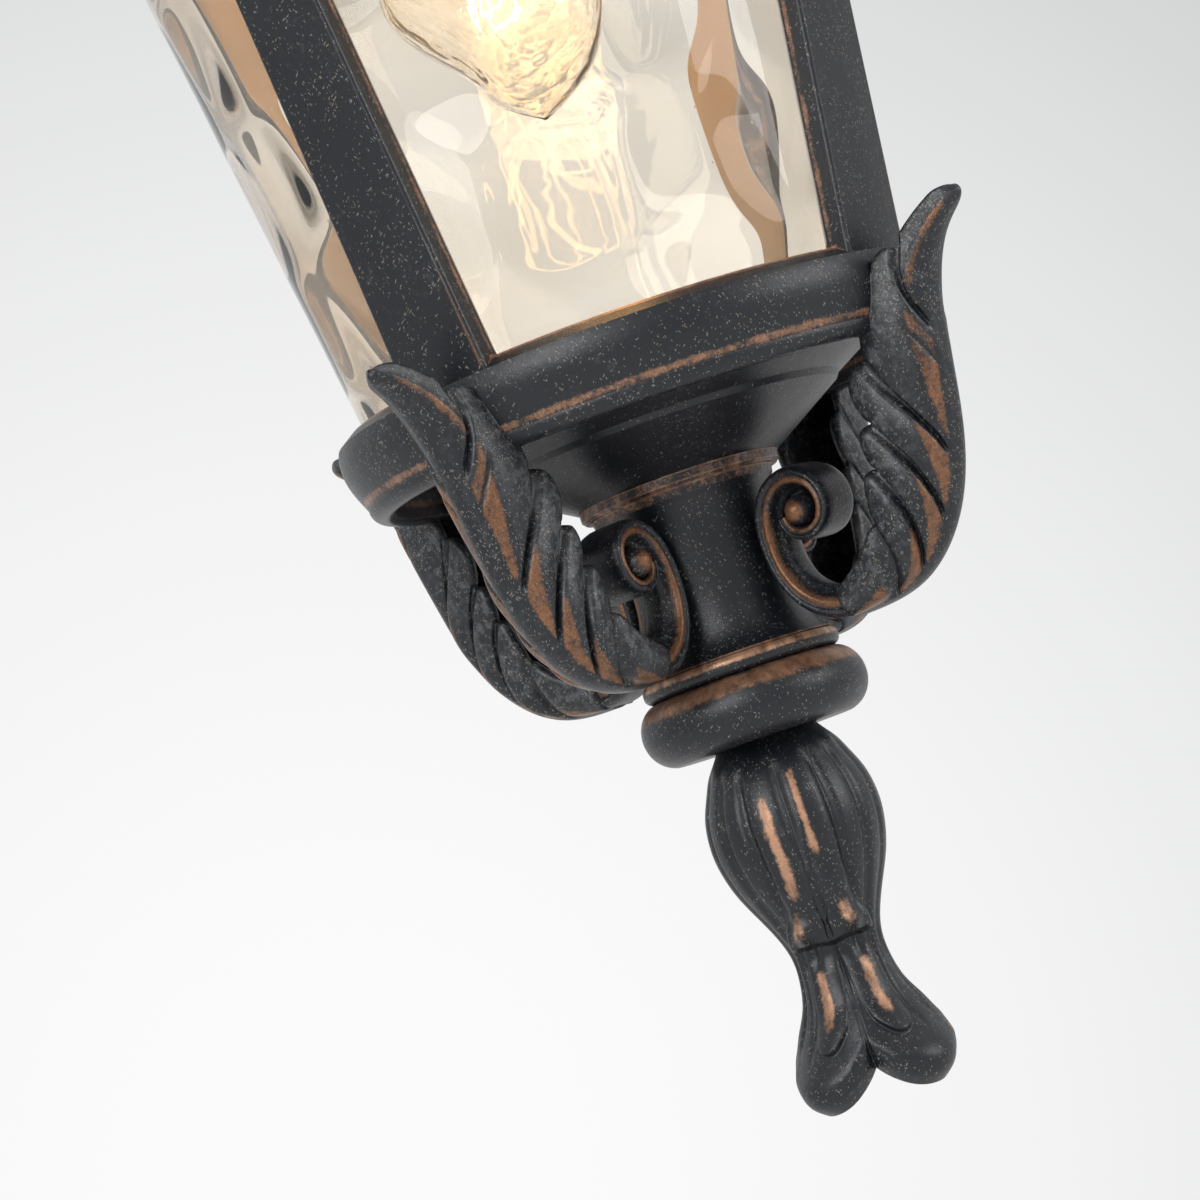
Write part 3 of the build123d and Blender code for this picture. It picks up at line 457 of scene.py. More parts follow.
# Share of the leaf's run, then share of its full width, depth and wall there.
LEAF_STATIONS = (
    (0.0, 0.34, 0.27, 0.7),
    (0.08, 0.54, 0.36, 0.8),
    (0.18, 0.80, 0.62, 0.9),
    (0.34, 1.0, 0.98, 1.0),
    (0.50, 1.0, 1.0, 1.0),
    (0.68, 1.0, 0.92, 1.0),
    (0.85, 0.94, 0.66, 1.0),
    (1.0, 0.80, 0.30, 0.9),
)
# Where the notches between lobes reach the midrib, as shares of its run.
LEAF_NOTCHES = (0.310, 0.585, 0.720, 0.845, 0.915)
# How far each lobe's head stands out, as a share of the scallop.
LEAF_HEADS = (0.90, 0.70, 0.48, 0.36, 0.30)
# Share of the run in which the tip's section closes on its middle.
TIP_RUN = 0.05
# Where a short second groove crosses the first lobe, as a share of its run.
SECOND_GROOVE = 0.29
# Outer face of the band, out from the axis and up from its top edge.
BAND_FACE = (
    (-19.0, 66.0),
    (-17.6, 68.5),
    (-15.0, 72.4),
    (-10.0, 74.4),
    (-4.5, 75.7),
    (0.0, 75.0),
)
# Rise of the posts' outer face, out from the axis for each height.
CAGE_SLOPE = 0.15
# Room between a carved piece and the cage.
CLEARANCE = 0.25


def midrib_frame():
    """Functions for the midrib's place and its inward direction, and its length."""
    line = np.array(MIDRIB)
    runs = np.concatenate(([0], np.cumsum(np.hypot(*np.diff(line, axis=0).T))))
    length = runs[-1]
    place = curve_through(runs / length, line)

    def inward(share):
        step = 0.004
        along = place(np.clip(share + step, 0, 1)) - place(np.clip(share - step, 0, 1))
        along /= np.linalg.norm(along, axis=-1, keepdims=True)
        return np.stack((along[..., 1], -along[..., 0]), -1)

    return place, inward, length


def clear_of_band(points):
    """Points moved out of the band's and the posts' faces, in millimetres."""
    heights, radii = np.array(BAND_FACE).T
    level = points[:, 2]
    reach = np.hypot(points[:, 0], points[:, 1])
    face = np.interp(level, heights, radii) + CAGE_SLOPE * np.maximum(level, 0.0) + CLEARANCE
    foot = heights[0] - CLEARANCE
    inside = (level > foot) & (reach < face)
    outward = face - reach
    downward = level - foot
    drops = inside & (downward < outward) & (reach < 72.0)
    pushes = inside & ~drops
    points[drops, 2] = foot
    factor = np.where(pushes, face / np.maximum(reach, 1.0), 1.0)
    points[:, 0] *= factor
    points[:, 1] *= factor
    return points


def leaf_shell(sizes):
    """Points, faces, the rub mask and the mask of dust and painted light of the leaf at azimuth 0, in
    millimetres.
    """
    place, inward, length = midrib_frame()
    notches = np.array(LEAF_NOTCHES)
    stations = np.array(LEAF_STATIONS)
    widths, depths, walls = (curve_through(stations[:, 0], stations[:, i]) for i in (1, 2, 3))
    half = sizes.width / 2 / MM
    deep = sizes.depth / MM
    thick = sizes.wall / MM

    # Rows run up to each notch and crowd towards it
    rows = [np.linspace(0, 1, 12) ** 1.6 * TIP_RUN, np.linspace(TIP_RUN, notches[0], 40)[1:]]
    for low, high in zip(notches[:-1], notches[1:]):
        count = int(18 + 90 * (high - low))
        share = np.linspace(0, 1, count)[1:]
        crowded = (1 - np.cos(np.pi * share)) / 2
        rows.append(low + (high - low) * (0.6 * crowded + 0.4 * share))
    rows.append(np.linspace(notches[-1], 1.0, 10)[1:])
    row = np.concatenate(rows)
    lobe = np.clip(np.searchsorted(notches, row, side="right") - 1, -1, len(notches) - 1)
    below = np.append(notches, 1.06)
    start = np.where(lobe >= 0, notches[lobe], 0.0)
    end = np.where(lobe >= 0, below[np.clip(lobe + 1, 0, len(notches))], notches[0])
    phase = (row - start) / (end - start)
    lobed = lobe >= 0
    run_in = length * (row - start)
    run_out = length * (end - row)

    columns = 61
    u = np.linspace(-1, 1, columns)
    side = np.abs(u)[None, :]
    slant = sizes.slant * smooth(row, 0.0, 0.5) * (1 - smooth(row, 0.84, 1.0))
    share = np.clip(row[:, None] - slant[:, None] * side**1.2, 0.0, 1.0)

    # Scalloped edge: each lobe's tip stands out just below the notch above it
    tip = np.sin(np.pi * np.clip(phase, 0, 1) ** 0.62).clip(0, 1) ** 0.75
    heads = np.array(LEAF_HEADS)[np.clip(lobe, 0, len(notches) - 1)]
    scallop = np.where(lobed, (tip - 0.45) * sizes.scallop / MM * heads, 0.0)
    before = smooth(row, notches[0] - 0.1, notches[0])
    scallop = np.where(lobed, scallop, -0.45 * sizes.scallop / MM * heads[0] * before)
    edge = smooth(side, 0.55, 1.0)

    # Rounded tip: the first rows close on the middle of the section
    cap = np.sqrt(np.clip(1 - (1 - np.clip(row / TIP_RUN, 0, 1)) ** 2, 0.0004, 1))[:, None]
    w = half * widths(share) * cap
    d_full = deep * depths(share)
    d = d_full * cap
    sine, cosine = np.sin(np.pi * u / 2)[None, :], np.cos(np.pi * u / 2)[None, :]
    across = w * sine
    down = d * (1 - cosine) + (d_full - d) * 0.5
    down = down + scallop[:, None] * edge

    # Relief: veins, crowned lobes, lifted lobe heads and the tip's channel
    veins = hump(run_in, 0, 1.15) + hump(run_out, 0, 0.8)
    veins = np.where(lobed, veins, hump(run_out, 0, 1.0))[:, None]
    from_spine = smooth(side, 0.20, 0.36) * (1 - 0.55 * smooth(side, 0.66, 0.90))
    crown = np.where(lobed, np.sin(np.pi * np.clip(phase, 0, 1)), 0.0)[:, None]
    head = np.where(lobed, (1 - phase) ** 1.4 * smooth(run_in, 0.0, 1.6), 0.0)[:, None]
    groove, high = sizes.vein_depth / MM, sizes.crown / MM
    relief = -groove * veins * from_spine
    crown_side = smooth(side, 0.24, 0.5) * (1 - 0.3 * smooth(side, 0.8, 1))
    relief = relief + high * crown * crown_side
    relief = relief + 0.7 * high * head * smooth(side, 0.26, 0.48)
    crossing = length * (row - (start + SECOND_GROOVE * (end - start)))
    second = np.where(lobe == 0, hump(crossing, 0, 0.8), 0.0)[:, None]
    second_side = smooth(side, 0.24, 0.34) * (1 - smooth(side, 0.5, 0.66))
    relief = relief - 0.6 * groove * second * second_side
    at_tip = ((1 - smooth(row, 0.24, 0.36)) * smooth(row, 0.0, TIP_RUN))[:, None]
    relief = relief + (0.7 * hump(side, 0.62, 0.11) - 0.8 * hump(side, 0.0, 0.34)) * at_tip
    normal = np.stack((sine / np.maximum(w, 0.5), -cosine / np.maximum(d, 0.5)), -1)
    normal /= np.linalg.norm(normal, axis=-1, keepdims=True)
    across = across + relief * normal[..., 0]
    down = down + relief * normal[..., 1]

    # Inner face and the rounded rims between it and the outer face
    inner_share = np.clip(share[:, ::-1], 0, 1)
    wall = np.minimum(thick * walls(inner_share), deep * depths(inner_share) * 0.55) * cap
    in_sine, in_cosine = sine[:, ::-1], cosine[:, ::-1]
    in_w = np.maximum(half * widths(inner_share) * cap - wall * 0.72, 0.02)
    in_across = in_w * in_sine
    in_edge = down[:, ::-1]
    blend = np.abs(u)[None, ::-1] ** 3
    in_down = (d_full - d) * 0.5 + wall + (d - wall) * (1 - in_cosine)
    in_down = in_down * (1 - blend) + in_edge * blend

    def rim(column, inner_column):
        outer, inner = across[:, column], in_across[:, inner_column]
        middle = (down[:, column] + in_down[:, inner_column]) / 2
        parts = []
        for turn in np.radians((45, 90, 135)):
            lateral = outer * (1 + math.cos(turn)) / 2 + inner * (1 - math.cos(turn)) / 2
            lift = math.sin(turn) * np.abs(outer - inner) * 0.45
            parts.append((lateral, middle + lift, share[:, column]))
        return parts

    loop = [(across[:, i], down[:, i], share[:, i]) for i in range(columns)]
    loop += rim(columns - 1, 0)
    loop += [(in_across[:, i], in_down[:, i], inner_share[:, i]) for i in range(0, columns, 2)]
    loop += rim(0, columns - 1)[::-1]
    lateral, depth, where = (np.stack(parts, 1) for parts in zip(*loop))
    flat = place(where) + inward(where) * depth[..., None]
    points = np.stack((flat[..., 0], lateral, flat[..., 1]), -1)

    # Rub: a patch on each lobe that narrows away from the spine, and the tip's ridge
    along = np.where(lobed, phase, 0.0)[:, None]
    reach = 0.68 - 0.36 * along
    patch = smooth(along, 0.04, 0.16) * (1 - smooth(along, 0.84, 1.0)) * smooth(side, 0.18, 0.27)
    patch = patch * (1 - smooth(side, reach - 0.08, reach + 0.06))
    patch = patch * (1 - 0.8 * second)
    strokes = hump(side, 0.62, 0.10) * at_tip
    lip = hump(side, 1.0, 0.05) * 0.15
    rubbed = np.clip(patch * 0.70 + strokes * 0.68 + lip, 0, 1)
    # Dust and painted light: the lobes' outer parts greyer, as if the side lamps lit them; the inner
    # face and rims get a set share.
    dusty = smooth(side, 0.50, 0.85) * (1 - veins.clip(0, 1)) + 0.25
    rub = np.zeros(points.shape[:2])
    rub[:, :columns] = rubbed
    powder = np.full(points.shape[:2], 0.8)
    powder[:, :columns] = dusty
    points, faces, masks = capped(points, (rub, powder))
    return clear_of_band(points), faces, masks


# Side profile of the scroll across its wall: in from its outer line, and half
# its width there, in millimetres, with the rub of each point.
SCROLL_PROFILE = (
    (0.0, 0.0, 0.0),
    (0.0, 3.0, 0.1),
    (0.1, 4.6, 0.15),
    (0.5, 5.9, 0.2),
    (1.2, 6.7, 0.15),
    (2.0, 7.0, 0.1),
    (2.5, 6.75, 0.0),
    (2.8, 6.3, 0.25),
    (3.2, 6.3, 0.65),
    (3.7, 6.6, 0.9),
    (4.3, 6.7, 1.0),
    (4.9, 6.4, 0.9),
    (5.5, 5.4, 0.55),
    (6.0, 4.2, 0.15),
    (6.6, 3.4, 0.0),
    (7.4, 3.0, 0.1),
    (7.9, 2.2, 0.3),
    (8.1, 1.1, 0.2),
    (8.1, 0.0, 0.0),
)
# Middle of the scroll's eye, out from the axis and up from the band's top edge.
SCROLL_EYE = (33.4, -49.6)
# Distance of the outer line from the eye: where the leaf ends, where the winding
# proper starts, and how much it closes from there on, in millimetres.
SCROLL_REACH = 28.6
SCROLL_OUTER = 14.4
SCROLL_CLOSING = 8.4
# Angle over which the first distance eases into the second, and where the line starts.
SCROLL_EASE = 58.0
SCROLL_START = -72.0
SCROLL_TURNS = 1.28
# Domed eye of the scroll: radius, height as a share of its stand, and rub.
SCROLL_DOME = (
    (0.0, 1.0, 1.0),
    (1.0, 0.985, 1.0),
    (2.0, 0.93, 0.9),
    (3.0, 0.83, 0.5),
    (3.8, 0.70, 0.2),
    (4.3, 0.55, 0.0),
    (4.5, 0.35, 0.0),
)
# Rings of the block that bears on the band: out from the axis, half width and half height.
BEARING_RINGS = (
    (75.8, 3.2, 2.4),
    (76.2, 3.8, 2.9),
    (79.0, 3.8, 2.9),
    (81.8, 3.4, 2.6),
)
BEARING_LEVEL = -15.0
# Radius at which the dome above has the eye's own size.
EYE_DOME = 4.2


def scroll_shell(sizes):
    """Points, faces and masks of the scroll and its eye at azimuth 0, in millimetres."""
    profile = np.array(SCROLL_PROFILE)
    mirrored = profile[::-1][1:-1] * np.array((1, -1, 1))
    ring = np.concatenate((profile, mirrored))
    turned = np.linspace(0, 360 * SCROLL_TURNS, 190)
    done = turned / (360 * SCROLL_TURNS)
    angle = np.radians(SCROLL_START - turned)
    reach = SCROLL_OUTER - SCROLL_CLOSING * done
    reach = reach + (SCROLL_REACH - SCROLL_OUTER) * np.exp(-((turned / SCROLL_EASE) ** 2))
    scale = 1.0 - 0.50 * done
    wide = (1.0 - 0.04 * done) * sizes.scroll_width / 14.0 / MM
    inset = ring[None, :, 0] * scale[:, None]
    out = reach[:, None] - inset
    x = SCROLL_EYE[0] + out * np.cos(angle)[:, None]
    z = SCROLL_EYE[1] + out * np.sin(angle)[:, None]
    y = ring[None, :, 1] * wide[:, None]
    worn = 0.85 + 0.15 * np.sin(turned / 37.0)
    rub = ring[None, :, 2] * worn[:, None]
    points = np.stack((x, np.broadcast_to(y, x.shape), z), -1)
    flat, faces, (rub,) = capped(points, (rub,))

    # Domed eye that stands proud of both sides
    stand = sizes.scroll_width / 2 / MM + sizes.eye_stand / MM
    dome = np.array(SCROLL_DOME)
    rings = np.concatenate((dome, dome[::-1] * np.array((1, -1, 1))))
    around = np.radians(np.arange(0, 360, 10))
    size = np.maximum(rings[:, 0], 0.01) * sizes.eye_size / MM / EYE_DOME
    ex = SCROLL_EYE[0] + size[:, None] * np.cos(around)
    ez = SCROLL_EYE[1] + size[:, None] * np.sin(around)
    ey = np.broadcast_to((rings[:, 1] * stand)[:, None], ex.shape)
    eye = np.stack((ex, ey, ez), -1).reshape(-1, 3)
    faces += grid_faces(len(rings), len(around), True, len(flat))
    eye_rub = np.broadcast_to(rings[:, 2:3], ex.shape).reshape(-1)
    rub = np.concatenate((rub, eye_rub))
    # The scroll's second mask: a little dust and painted light.
    return np.concatenate((flat, eye)), faces, [rub, rub * 0 + 0.2]


def bearing_shell():
    """Points and faces of the block that bears on the band, in millimetres."""
    around = np.radians(np.arange(0, 360, 15))
    square = (np.abs(np.cos(around)) ** 5 + np.abs(np.sin(around)) ** 5) ** (-1 / 5)
    rows = []
    for out, width, height in BEARING_RINGS:
        y = square * np.cos(around) * width
        z = BEARING_LEVEL + square * np.sin(around) * height
        rows.append(np.stack((np.full_like(y, out), y, z), -1))
    points = np.concatenate(rows)
    total = len(around)
    faces = grid_faces(len(rows), total, True)
    faces += fan_faces(range(total), len(points), True)
    middle = (BEARING_RINGS[0][0], 0.0, BEARING_LEVEL)
    return np.concatenate((points, [middle])), faces


class LANTERN_OT_leaf_brackets(bpy.types.Operator):
    """Four leaf brackets: a lobed trough, a carved scroll and the block on the band"""

    bl_idname = "lantern.leaf_brackets"
    bl_label = "Leaf Brackets"

    def execute(self, context):
        sizes = context.scene.lantern_leaf
        shells = [leaf_shell(sizes), scroll_shell(sizes)]
        block, block_faces = bearing_shell()
        shells.append((block, block_faces, np.zeros((2, len(block)))))
        faces = []
        count = 0
        for shell, shell_faces, _ in shells:
            faces += [tuple(corner + count for corner in face) for face in shell_faces]
            count += len(shell)
        points = np.concatenate([shell[0] for shell in shells])
        rub, powder = (np.concatenate([shell[2][kind] for shell in shells]) for kind in (0, 1))
        masks = {"rub": rub, "powder": powder}
        copper = {"bright": 0.80, "grainy": 0.7, "brown": 1.0}
        # The second mask is dust and painted light.
        worn = {"rub": carved("rub"), "powder": carved("powder"), "flecks": 2.0}
        material = cast_finish("leaf_cast", **worn, **copper)
        for corner, azimuth in CORNERS.items():
            spun = (points[:, 0] + 1j * points[:, 1]) * np.exp(1j * math.radians(azimuth))
            placed = np.stack((spun.real, spun.imag, points[:, 2]), -1) * MM + (0, 0, BAND_TOP)
            make_piece(f"leaf_{corner}", placed, faces, masks, material, f"leaf_bracket_{corner}")
        return {"FINISHED"}


# Finial

# Outline of the finial: down from the band's top edge, and out from the axis.
FINIAL_OUTLINE = (
    (97.0, 12.6),
    (99.0, 14.0),
    (102.0, 16.4),
    (106.3, 18.8),
    (110.7, 20.6),
    (116.0, 21.6),
    (120.0, 21.7),
    (125.0, 21.0),
    (131.0, 19.2),
    (137.0, 16.4),
    (143.0, 13.6),
    (150.0, 11.6),
    (154.0, 11.4),
    (159.0, 11.9),
    (163.5, 13.1),
    (168.0, 15.2),
    (172.3, 17.6),
    (176.5, 20.0),
    (180.0, 21.4),
    (182.0, 21.2),
    (184.3, 20.0),
    (186.4, 17.2),
)
# Angle of the front seam from the front, in degrees.
FINIAL_TURN = -13.0
# Flutes round the bulb: degrees from the seam, depth, and share that goes on below the waist.
FLUTES = ((29, 1.5, 0.0), (51, 1.1, 0.7), (73, 0.9, 0.7))
# Drops of the lip that ends the bulb's lobes and of the lobes' curled tips.
LIP_DROP = 147.2
CURL_DROP = 144.2
# Degrees from the seam at which the toes lie, and where they end.
TOE_TURN = 27
TOE_DROP = 172.6
# The closed underside: shares of the last ring's size.
UNDERSIDE = (0.93, 0.82, 0.66, 0.48, 0.30, 0.12)


def from_seam(turn):
    """Degrees from the nearer of the two seams, and from the nearest of the four clefts."""
    half = np.abs((np.degrees(turn) + 90) % 180 - 90)
    return half, np.minimum(half, 90 - half)


def finial_reach(turn, drop):
    """Radius of the finial at an angle from its front seam and a drop, with the rub there."""
    outline = curve_through(*np.array(FINIAL_OUTLINE).T)
    base = outline(drop)
    half, quarter = from_seam(turn)
    lateral = base * np.sin(np.radians(half))
    arc = base * np.radians(half)

    # Paired lobes on the front and back that end in curled tips over a lip
    centre = 4.6 + 0.4 * smooth(drop, 138, 149)
    breadth = 5.0 - 1.4 * smooth(drop, 127, 138) + 0.9 * smooth(drop, 139, 143)
    across = np.clip(1 - ((lateral - centre) / breadth) ** 2, 0, 1)
    facing = (half < 62) * 1.0
    lip = LIP_DROP + 0.03 * (lateral - 5.0) ** 2
    above_lip = smooth(drop, 99.5, 107.0) * (1 - smooth(drop, lip - 0.7, lip + 0.7))
    lobe = np.sqrt(across) * facing * above_lip
    lift = 0.9 + 2.0 * smooth(drop, 126, 140)
    curl = 2.6 * hump(drop, CURL_DROP, 2.4) * hump(lateral, 5.0, 2.5) * facing
    neck_in = -1.1 * hump(drop, 137.6, 2.8) * hump(lateral, 5.0, 3.4) * facing
    raised = lobe * lift + (curl + neck_in) * above_lip
    shelf = 1.6 * smooth(drop, 126, 142) * above_lip * (1 - smooth(lateral, 7.6, 9.6)) * facing
    between = 2.6 * hump(lateral, 0.0, 2.1) * smooth(drop, 116, 136) * above_lip * facing

    # Flutes round the rest of the bulb, and the seams
    grooves = np.zeros_like(base)
    ribs = np.zeros_like(base)
    for place, deep, lower in FLUTES:
        at = base * math.radians(place)
        grooves = grooves + deep * hump(arc, at, 1.35)
        ribs = ribs + lower * hump(arc, at, 0.9)
    run = smooth(drop, 99, 106) * (1 - smooth(drop, 146, 158))
    low_run = smooth(drop, 146, 156) * (1 - smooth(drop, 168, 175))
    seam = 0.6 * hump(arc, 0, 1.2) * smooth(drop, 100, 108) * (1 - smooth(drop, 120, 140))
    seam = seam + 0.6 * hump(arc, 0, 0.5) * smooth(drop, 146, 150)
    side_seam = hump(arc, base * math.pi / 2, 0.6) * smooth(drop, 160, 170) * 1.2

    # Toes: two ribs each side of the seam that end on the foot petals
    toe_off = base * np.sin(np.radians(np.abs(half - TOE_TURN)))
    toe_end = TOE_DROP - 0.16 * toe_off**2
    toe = np.sqrt(np.clip(1 - (toe_off / 4.5) ** 2, 0, 1))
    on_toe = smooth(drop, 150, 155) * (1 - smooth(drop, toe_end - 0.5, toe_end + 1.3))
    toe_rise = toe * on_toe * (0.9 + 1.1 * smooth(drop, 163, 170))

    # Squared section of the feet, with a narrow cleft at each seam
    bend = np.radians(quarter)
    square = 0.92 * (np.cos(bend) ** 3.2 + np.sin(bend) ** 3.2) ** (-1 / 3.2)
    squared = smooth(drop, 162, 178)
    notch = 0.04 * smooth(drop, 168, 177) + 0.10 * smooth(drop, 176, 184)
    clover = (1 + squared * (square - 1)) * (1 - notch * np.clip(1 - quarter / 16, 0, 1) ** 1.3)

    reach = base * clover - 0.55 * run
    reach = reach + raised + shelf + between + toe_rise - grooves * 0.75 * run
    reach = reach - ribs * low_run - seam - side_seam

    # Rub: uneven streaks down the lobes, their curled tips, the toes and the feet
    left = (np.degrees(turn) % 180) > 90
    middle = np.where(left, 4.9 - 0.5 * smooth(drop, 120, 135), 3.4)
    broad = np.where(left, 1.7, 1.25)
    lowest = np.where(left, 139.0, 131.0)
    highest = np.where(left, 108.0, 104.0)
    streak = hump(lateral, middle, broad) * smooth(drop, highest, highest + 4) * facing
    streak = streak * (1 - smooth(drop, lowest - 7, lowest))
    tips = hump(lateral, np.where(left, 5.2, 4.4), 1.8) * facing
    tips = tips * hump(drop, np.where(left, 142.5, 141.5), 4.2)
    toes = hump(toe_off, 0.2, 1.4) * smooth(drop, 151, 155) * (1 - smooth(drop, 166, 170))
    foot = hump(drop, 180.5, 3.0) * hump(half, 80, 8) * 0.7
    rub = np.clip(streak * 0.95 + tips * 0.8 + toes * 0.85 * facing + foot, 0, 1)
    return np.maximum(reach, 3.6), rub


class LANTERN_OT_finial(bpy.types.Operator):
    """Finial: fluted bulb, paired lobes with curled tips, waist with toes and four foot petals"""

    bl_idname = "lantern.finial"
    bl_label = "Finial"

    def execute(self, context):
        sizes = context.scene.lantern_finial
        top, bottom = FINIAL_OUTLINE[0][0], FINIAL_OUTLINE[-1][0]
        cleft = sizes.cleft / MM
        turn = np.radians(np.arange(sizes.columns) * 360.0 / sizes.columns)[None, :]
        even = top + (bottom - top) * np.linspace(0, 1, sizes.rows)[:, None]
        _, quarter = from_seam(turn)
        shorter = cleft * (1 - np.sin(np.radians(2 * quarter))) ** 1.15
        drop = even - shorter * smooth(even, 150, bottom)
        reach, rub = finial_reach(turn + even * 0, even + turn * 0)
        side = about_axis(reach, turn + math.radians(FINIAL_TURN - 90), -drop)

        # Both ends close on the middle, and the underside is hollowed a little
        middle = np.array((0.0, 0.0, cleft + 1.0 - bottom))
        hollow = np.array((0.0, 0.0, 0.8))
        lid = [side[:1] * np.array((scale, scale, 1.0)) for scale in (0.7 * 0.35, 0.7)]
        under = [
            side[-1:] * scale + middle * (1 - scale) + hollow * math.sin(math.pi * scale)
            for scale in UNDERSIDE
        ]
        grid = np.concatenate((*lid, side, *under))
        rub = np.pad(rub, ((len(lid), len(under)), (0, 0)))
        points, faces, (rub,) = capped(grid, (rub,), ((0.0, 0.0, -top), middle))
        points = points * MM + (0, 0, BAND_TOP)
        material = cast_finish("finial_cast", rub=carved("rub"), bright=1.0, grainy=0.25)
        make_piece("petal_finial", points, faces, {"rub": rub}, material, "finial")
        return {"FINISHED"}


# Glass


def dimple_field(turns, levels, sizes):
    """Depth of broad dimples on a wrapped sheet: 1 in each middle, soft ridges between."""
    rng = np.random.default_rng(DIMPLE_SEED)
    wide, tall = sizes.dimple_width / MM, sizes.dimple_height / MM
    across = int(round(DIMPLE_ROUND / wide))
    up = int(math.ceil((levels.max() - levels.min()) / tall)) + 2
    low = levels.min() - tall
    arc = turns * across / (2 * math.pi)
    rise = (levels - low) / tall
    total = np.full((len(levels), len(turns)), 1e-9)
    for j in range(up + 1):
        for i in range(across):
            cx = i + 0.5 * (j % 2) + rng.uniform(-0.22, 0.22)
            cy = j + rng.uniform(-0.22, 0.22)
            dx = (arc - cx + across / 2) % across - across / 2
            near = dx[None, :] ** 2 + (rise - cy)[:, None] ** 2 * 1.1
            total += np.exp(-sizes.dimple_sharpness * near)
    deepest = 0.36 - math.log(3) / sizes.dimple_sharpness
    return 1 + np.log(total) / sizes.dimple_sharpness / deepest


# Outer radius of the glass at the band's top edge, its growth with height, and its wall.
GLASS_RADIUS = 67.0
GLASS_SLOPE = 0.142
GLASS_WALL = 3.5
# Height over which the dimples fade at both ends of the glass.
DIMPLE_FADE = 7
# Circumference that a whole number of dimples is fitted round, and the seed of their places.
DIMPLE_ROUND = 2 * math.pi * 80.0
DIMPLE_SEED = 11


class LANTERN_OT_glass(bpy.types.Operator):
    """Tapered chimney of champagne glass with hammered dimples"""

    bl_idname = "lantern.glass"
    bl_label = "Hammered Glass"

    def execute(self, context):
        sizes = context.scene.lantern_glass
        low, high = (corner.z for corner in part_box("glass_chimney"))
        turns = np.arange(sizes.columns) * 2 * math.pi / sizes.columns
        levels = np.linspace(low, high, sizes.rows) / MM - BAND_TOP / MM
        start, end = levels[0], levels[-1]
        fade = smooth(levels, start, start + DIMPLE_FADE) * (1 - smooth(levels, end - DIMPLE_FADE, end))
        bulge = dimple_field(turns, levels, sizes) * fade[:, None] * sizes.dimple_depth / MM
        level = levels[:, None]
        plain = GLASS_RADIUS + GLASS_SLOPE * level
        outer = about_axis(plain - sizes.outer_share * (bulge - bulge.min()) - 0.02, turns, level)
        inner = about_axis(plain - GLASS_WALL - bulge, turns, level)

        # The last row of the inner face joins the first row of the outer one
        grid = np.concatenate((outer, inner[::-1], outer[:1]))
        points = grid[:-1].reshape(-1, 3) * MM + (0, 0, BAND_TOP)
        faces = grid_faces(len(grid), sizes.columns, True)
        faces = [[corner % len(points) for corner in face] for face in faces]
        make_piece("hammered_glass", points, faces, {}, glass_finish(sizes), "glass_chimney")
        return {"FINISHED"}


def clear_glass(look, tint, shade, rough, index, normal=None, glow=None):
    """Glass that lets light and shadow rays through as a plain shade."""
    sockets = {
        "Base Color": tint,
        "Roughness": rough,
        "IOR": index,
        "Transmission Weight": 1.0,
        "Specular IOR Level": 0.5,
    }
    if normal:
        sockets["Normal"] = normal
    if glow:
        sockets["Emission Color"] = glow
        sockets["Emission Strength"] = 1.0
    glass = look.node("BsdfPrincipled", {}, sockets)
    through = look.node("BsdfTransparent", {}, {"Color": shade})
    soft = look.ray_share("Is Shadow Ray", "Is Diffuse Ray")
    return look.surface(look.node("MixShader", {}, {0: soft, 1: glass, 2: through}))


def glass_finish(sizes):
    """Champagne glass, a little deeper in tone here and there, with faint seeds and ripples. At a slant
    it turns amber, a deeper tone that is partly a painted reflection of the brown posts, and at the
    outline a painted shade darkens it to brown.
    """
    look = Finish("champagne_glass")
    tone = look.rise(look.noise(22.0, 2.0), 0.35, 0.65)
    tint = look.mix(tone, sizes.tint, sizes.deep_tint)
    facing = look.facing()
    # Amber at a slant: the glass's deeper tone, partly a painted reflection of the brown posts behind.
    tint = look.mix(look.rise(facing, 0.40, 0.78) * (tone * 0.6 + 0.4), tint, sizes.slant_tint_and_reflection)
    # Painted shade: the outline darkens to brown where the wall turns away.
    tint = look.mix(look.rise(facing, 0.88, 0.98), tint, sizes.painted_rim_shade)
    ripples = look.noise(34.0, 1.0)
    seeds = look.node("TexVoronoi", {}, {"Vector": look.place, "Scale": 160.0})
    specks = (1 - look.rise(seeds, 0.03, 0.07)) * (look.part_of(seeds.other("Color"), "X") < 0.12)
    normal = look.bump(ripples * 0.6 + specks * 0.15, 0.20 * MM)
    return clear_glass(look, tint, sizes.shade, rough=0.015, index=1.46, normal=normal)


# Lamp, castings and fasteners


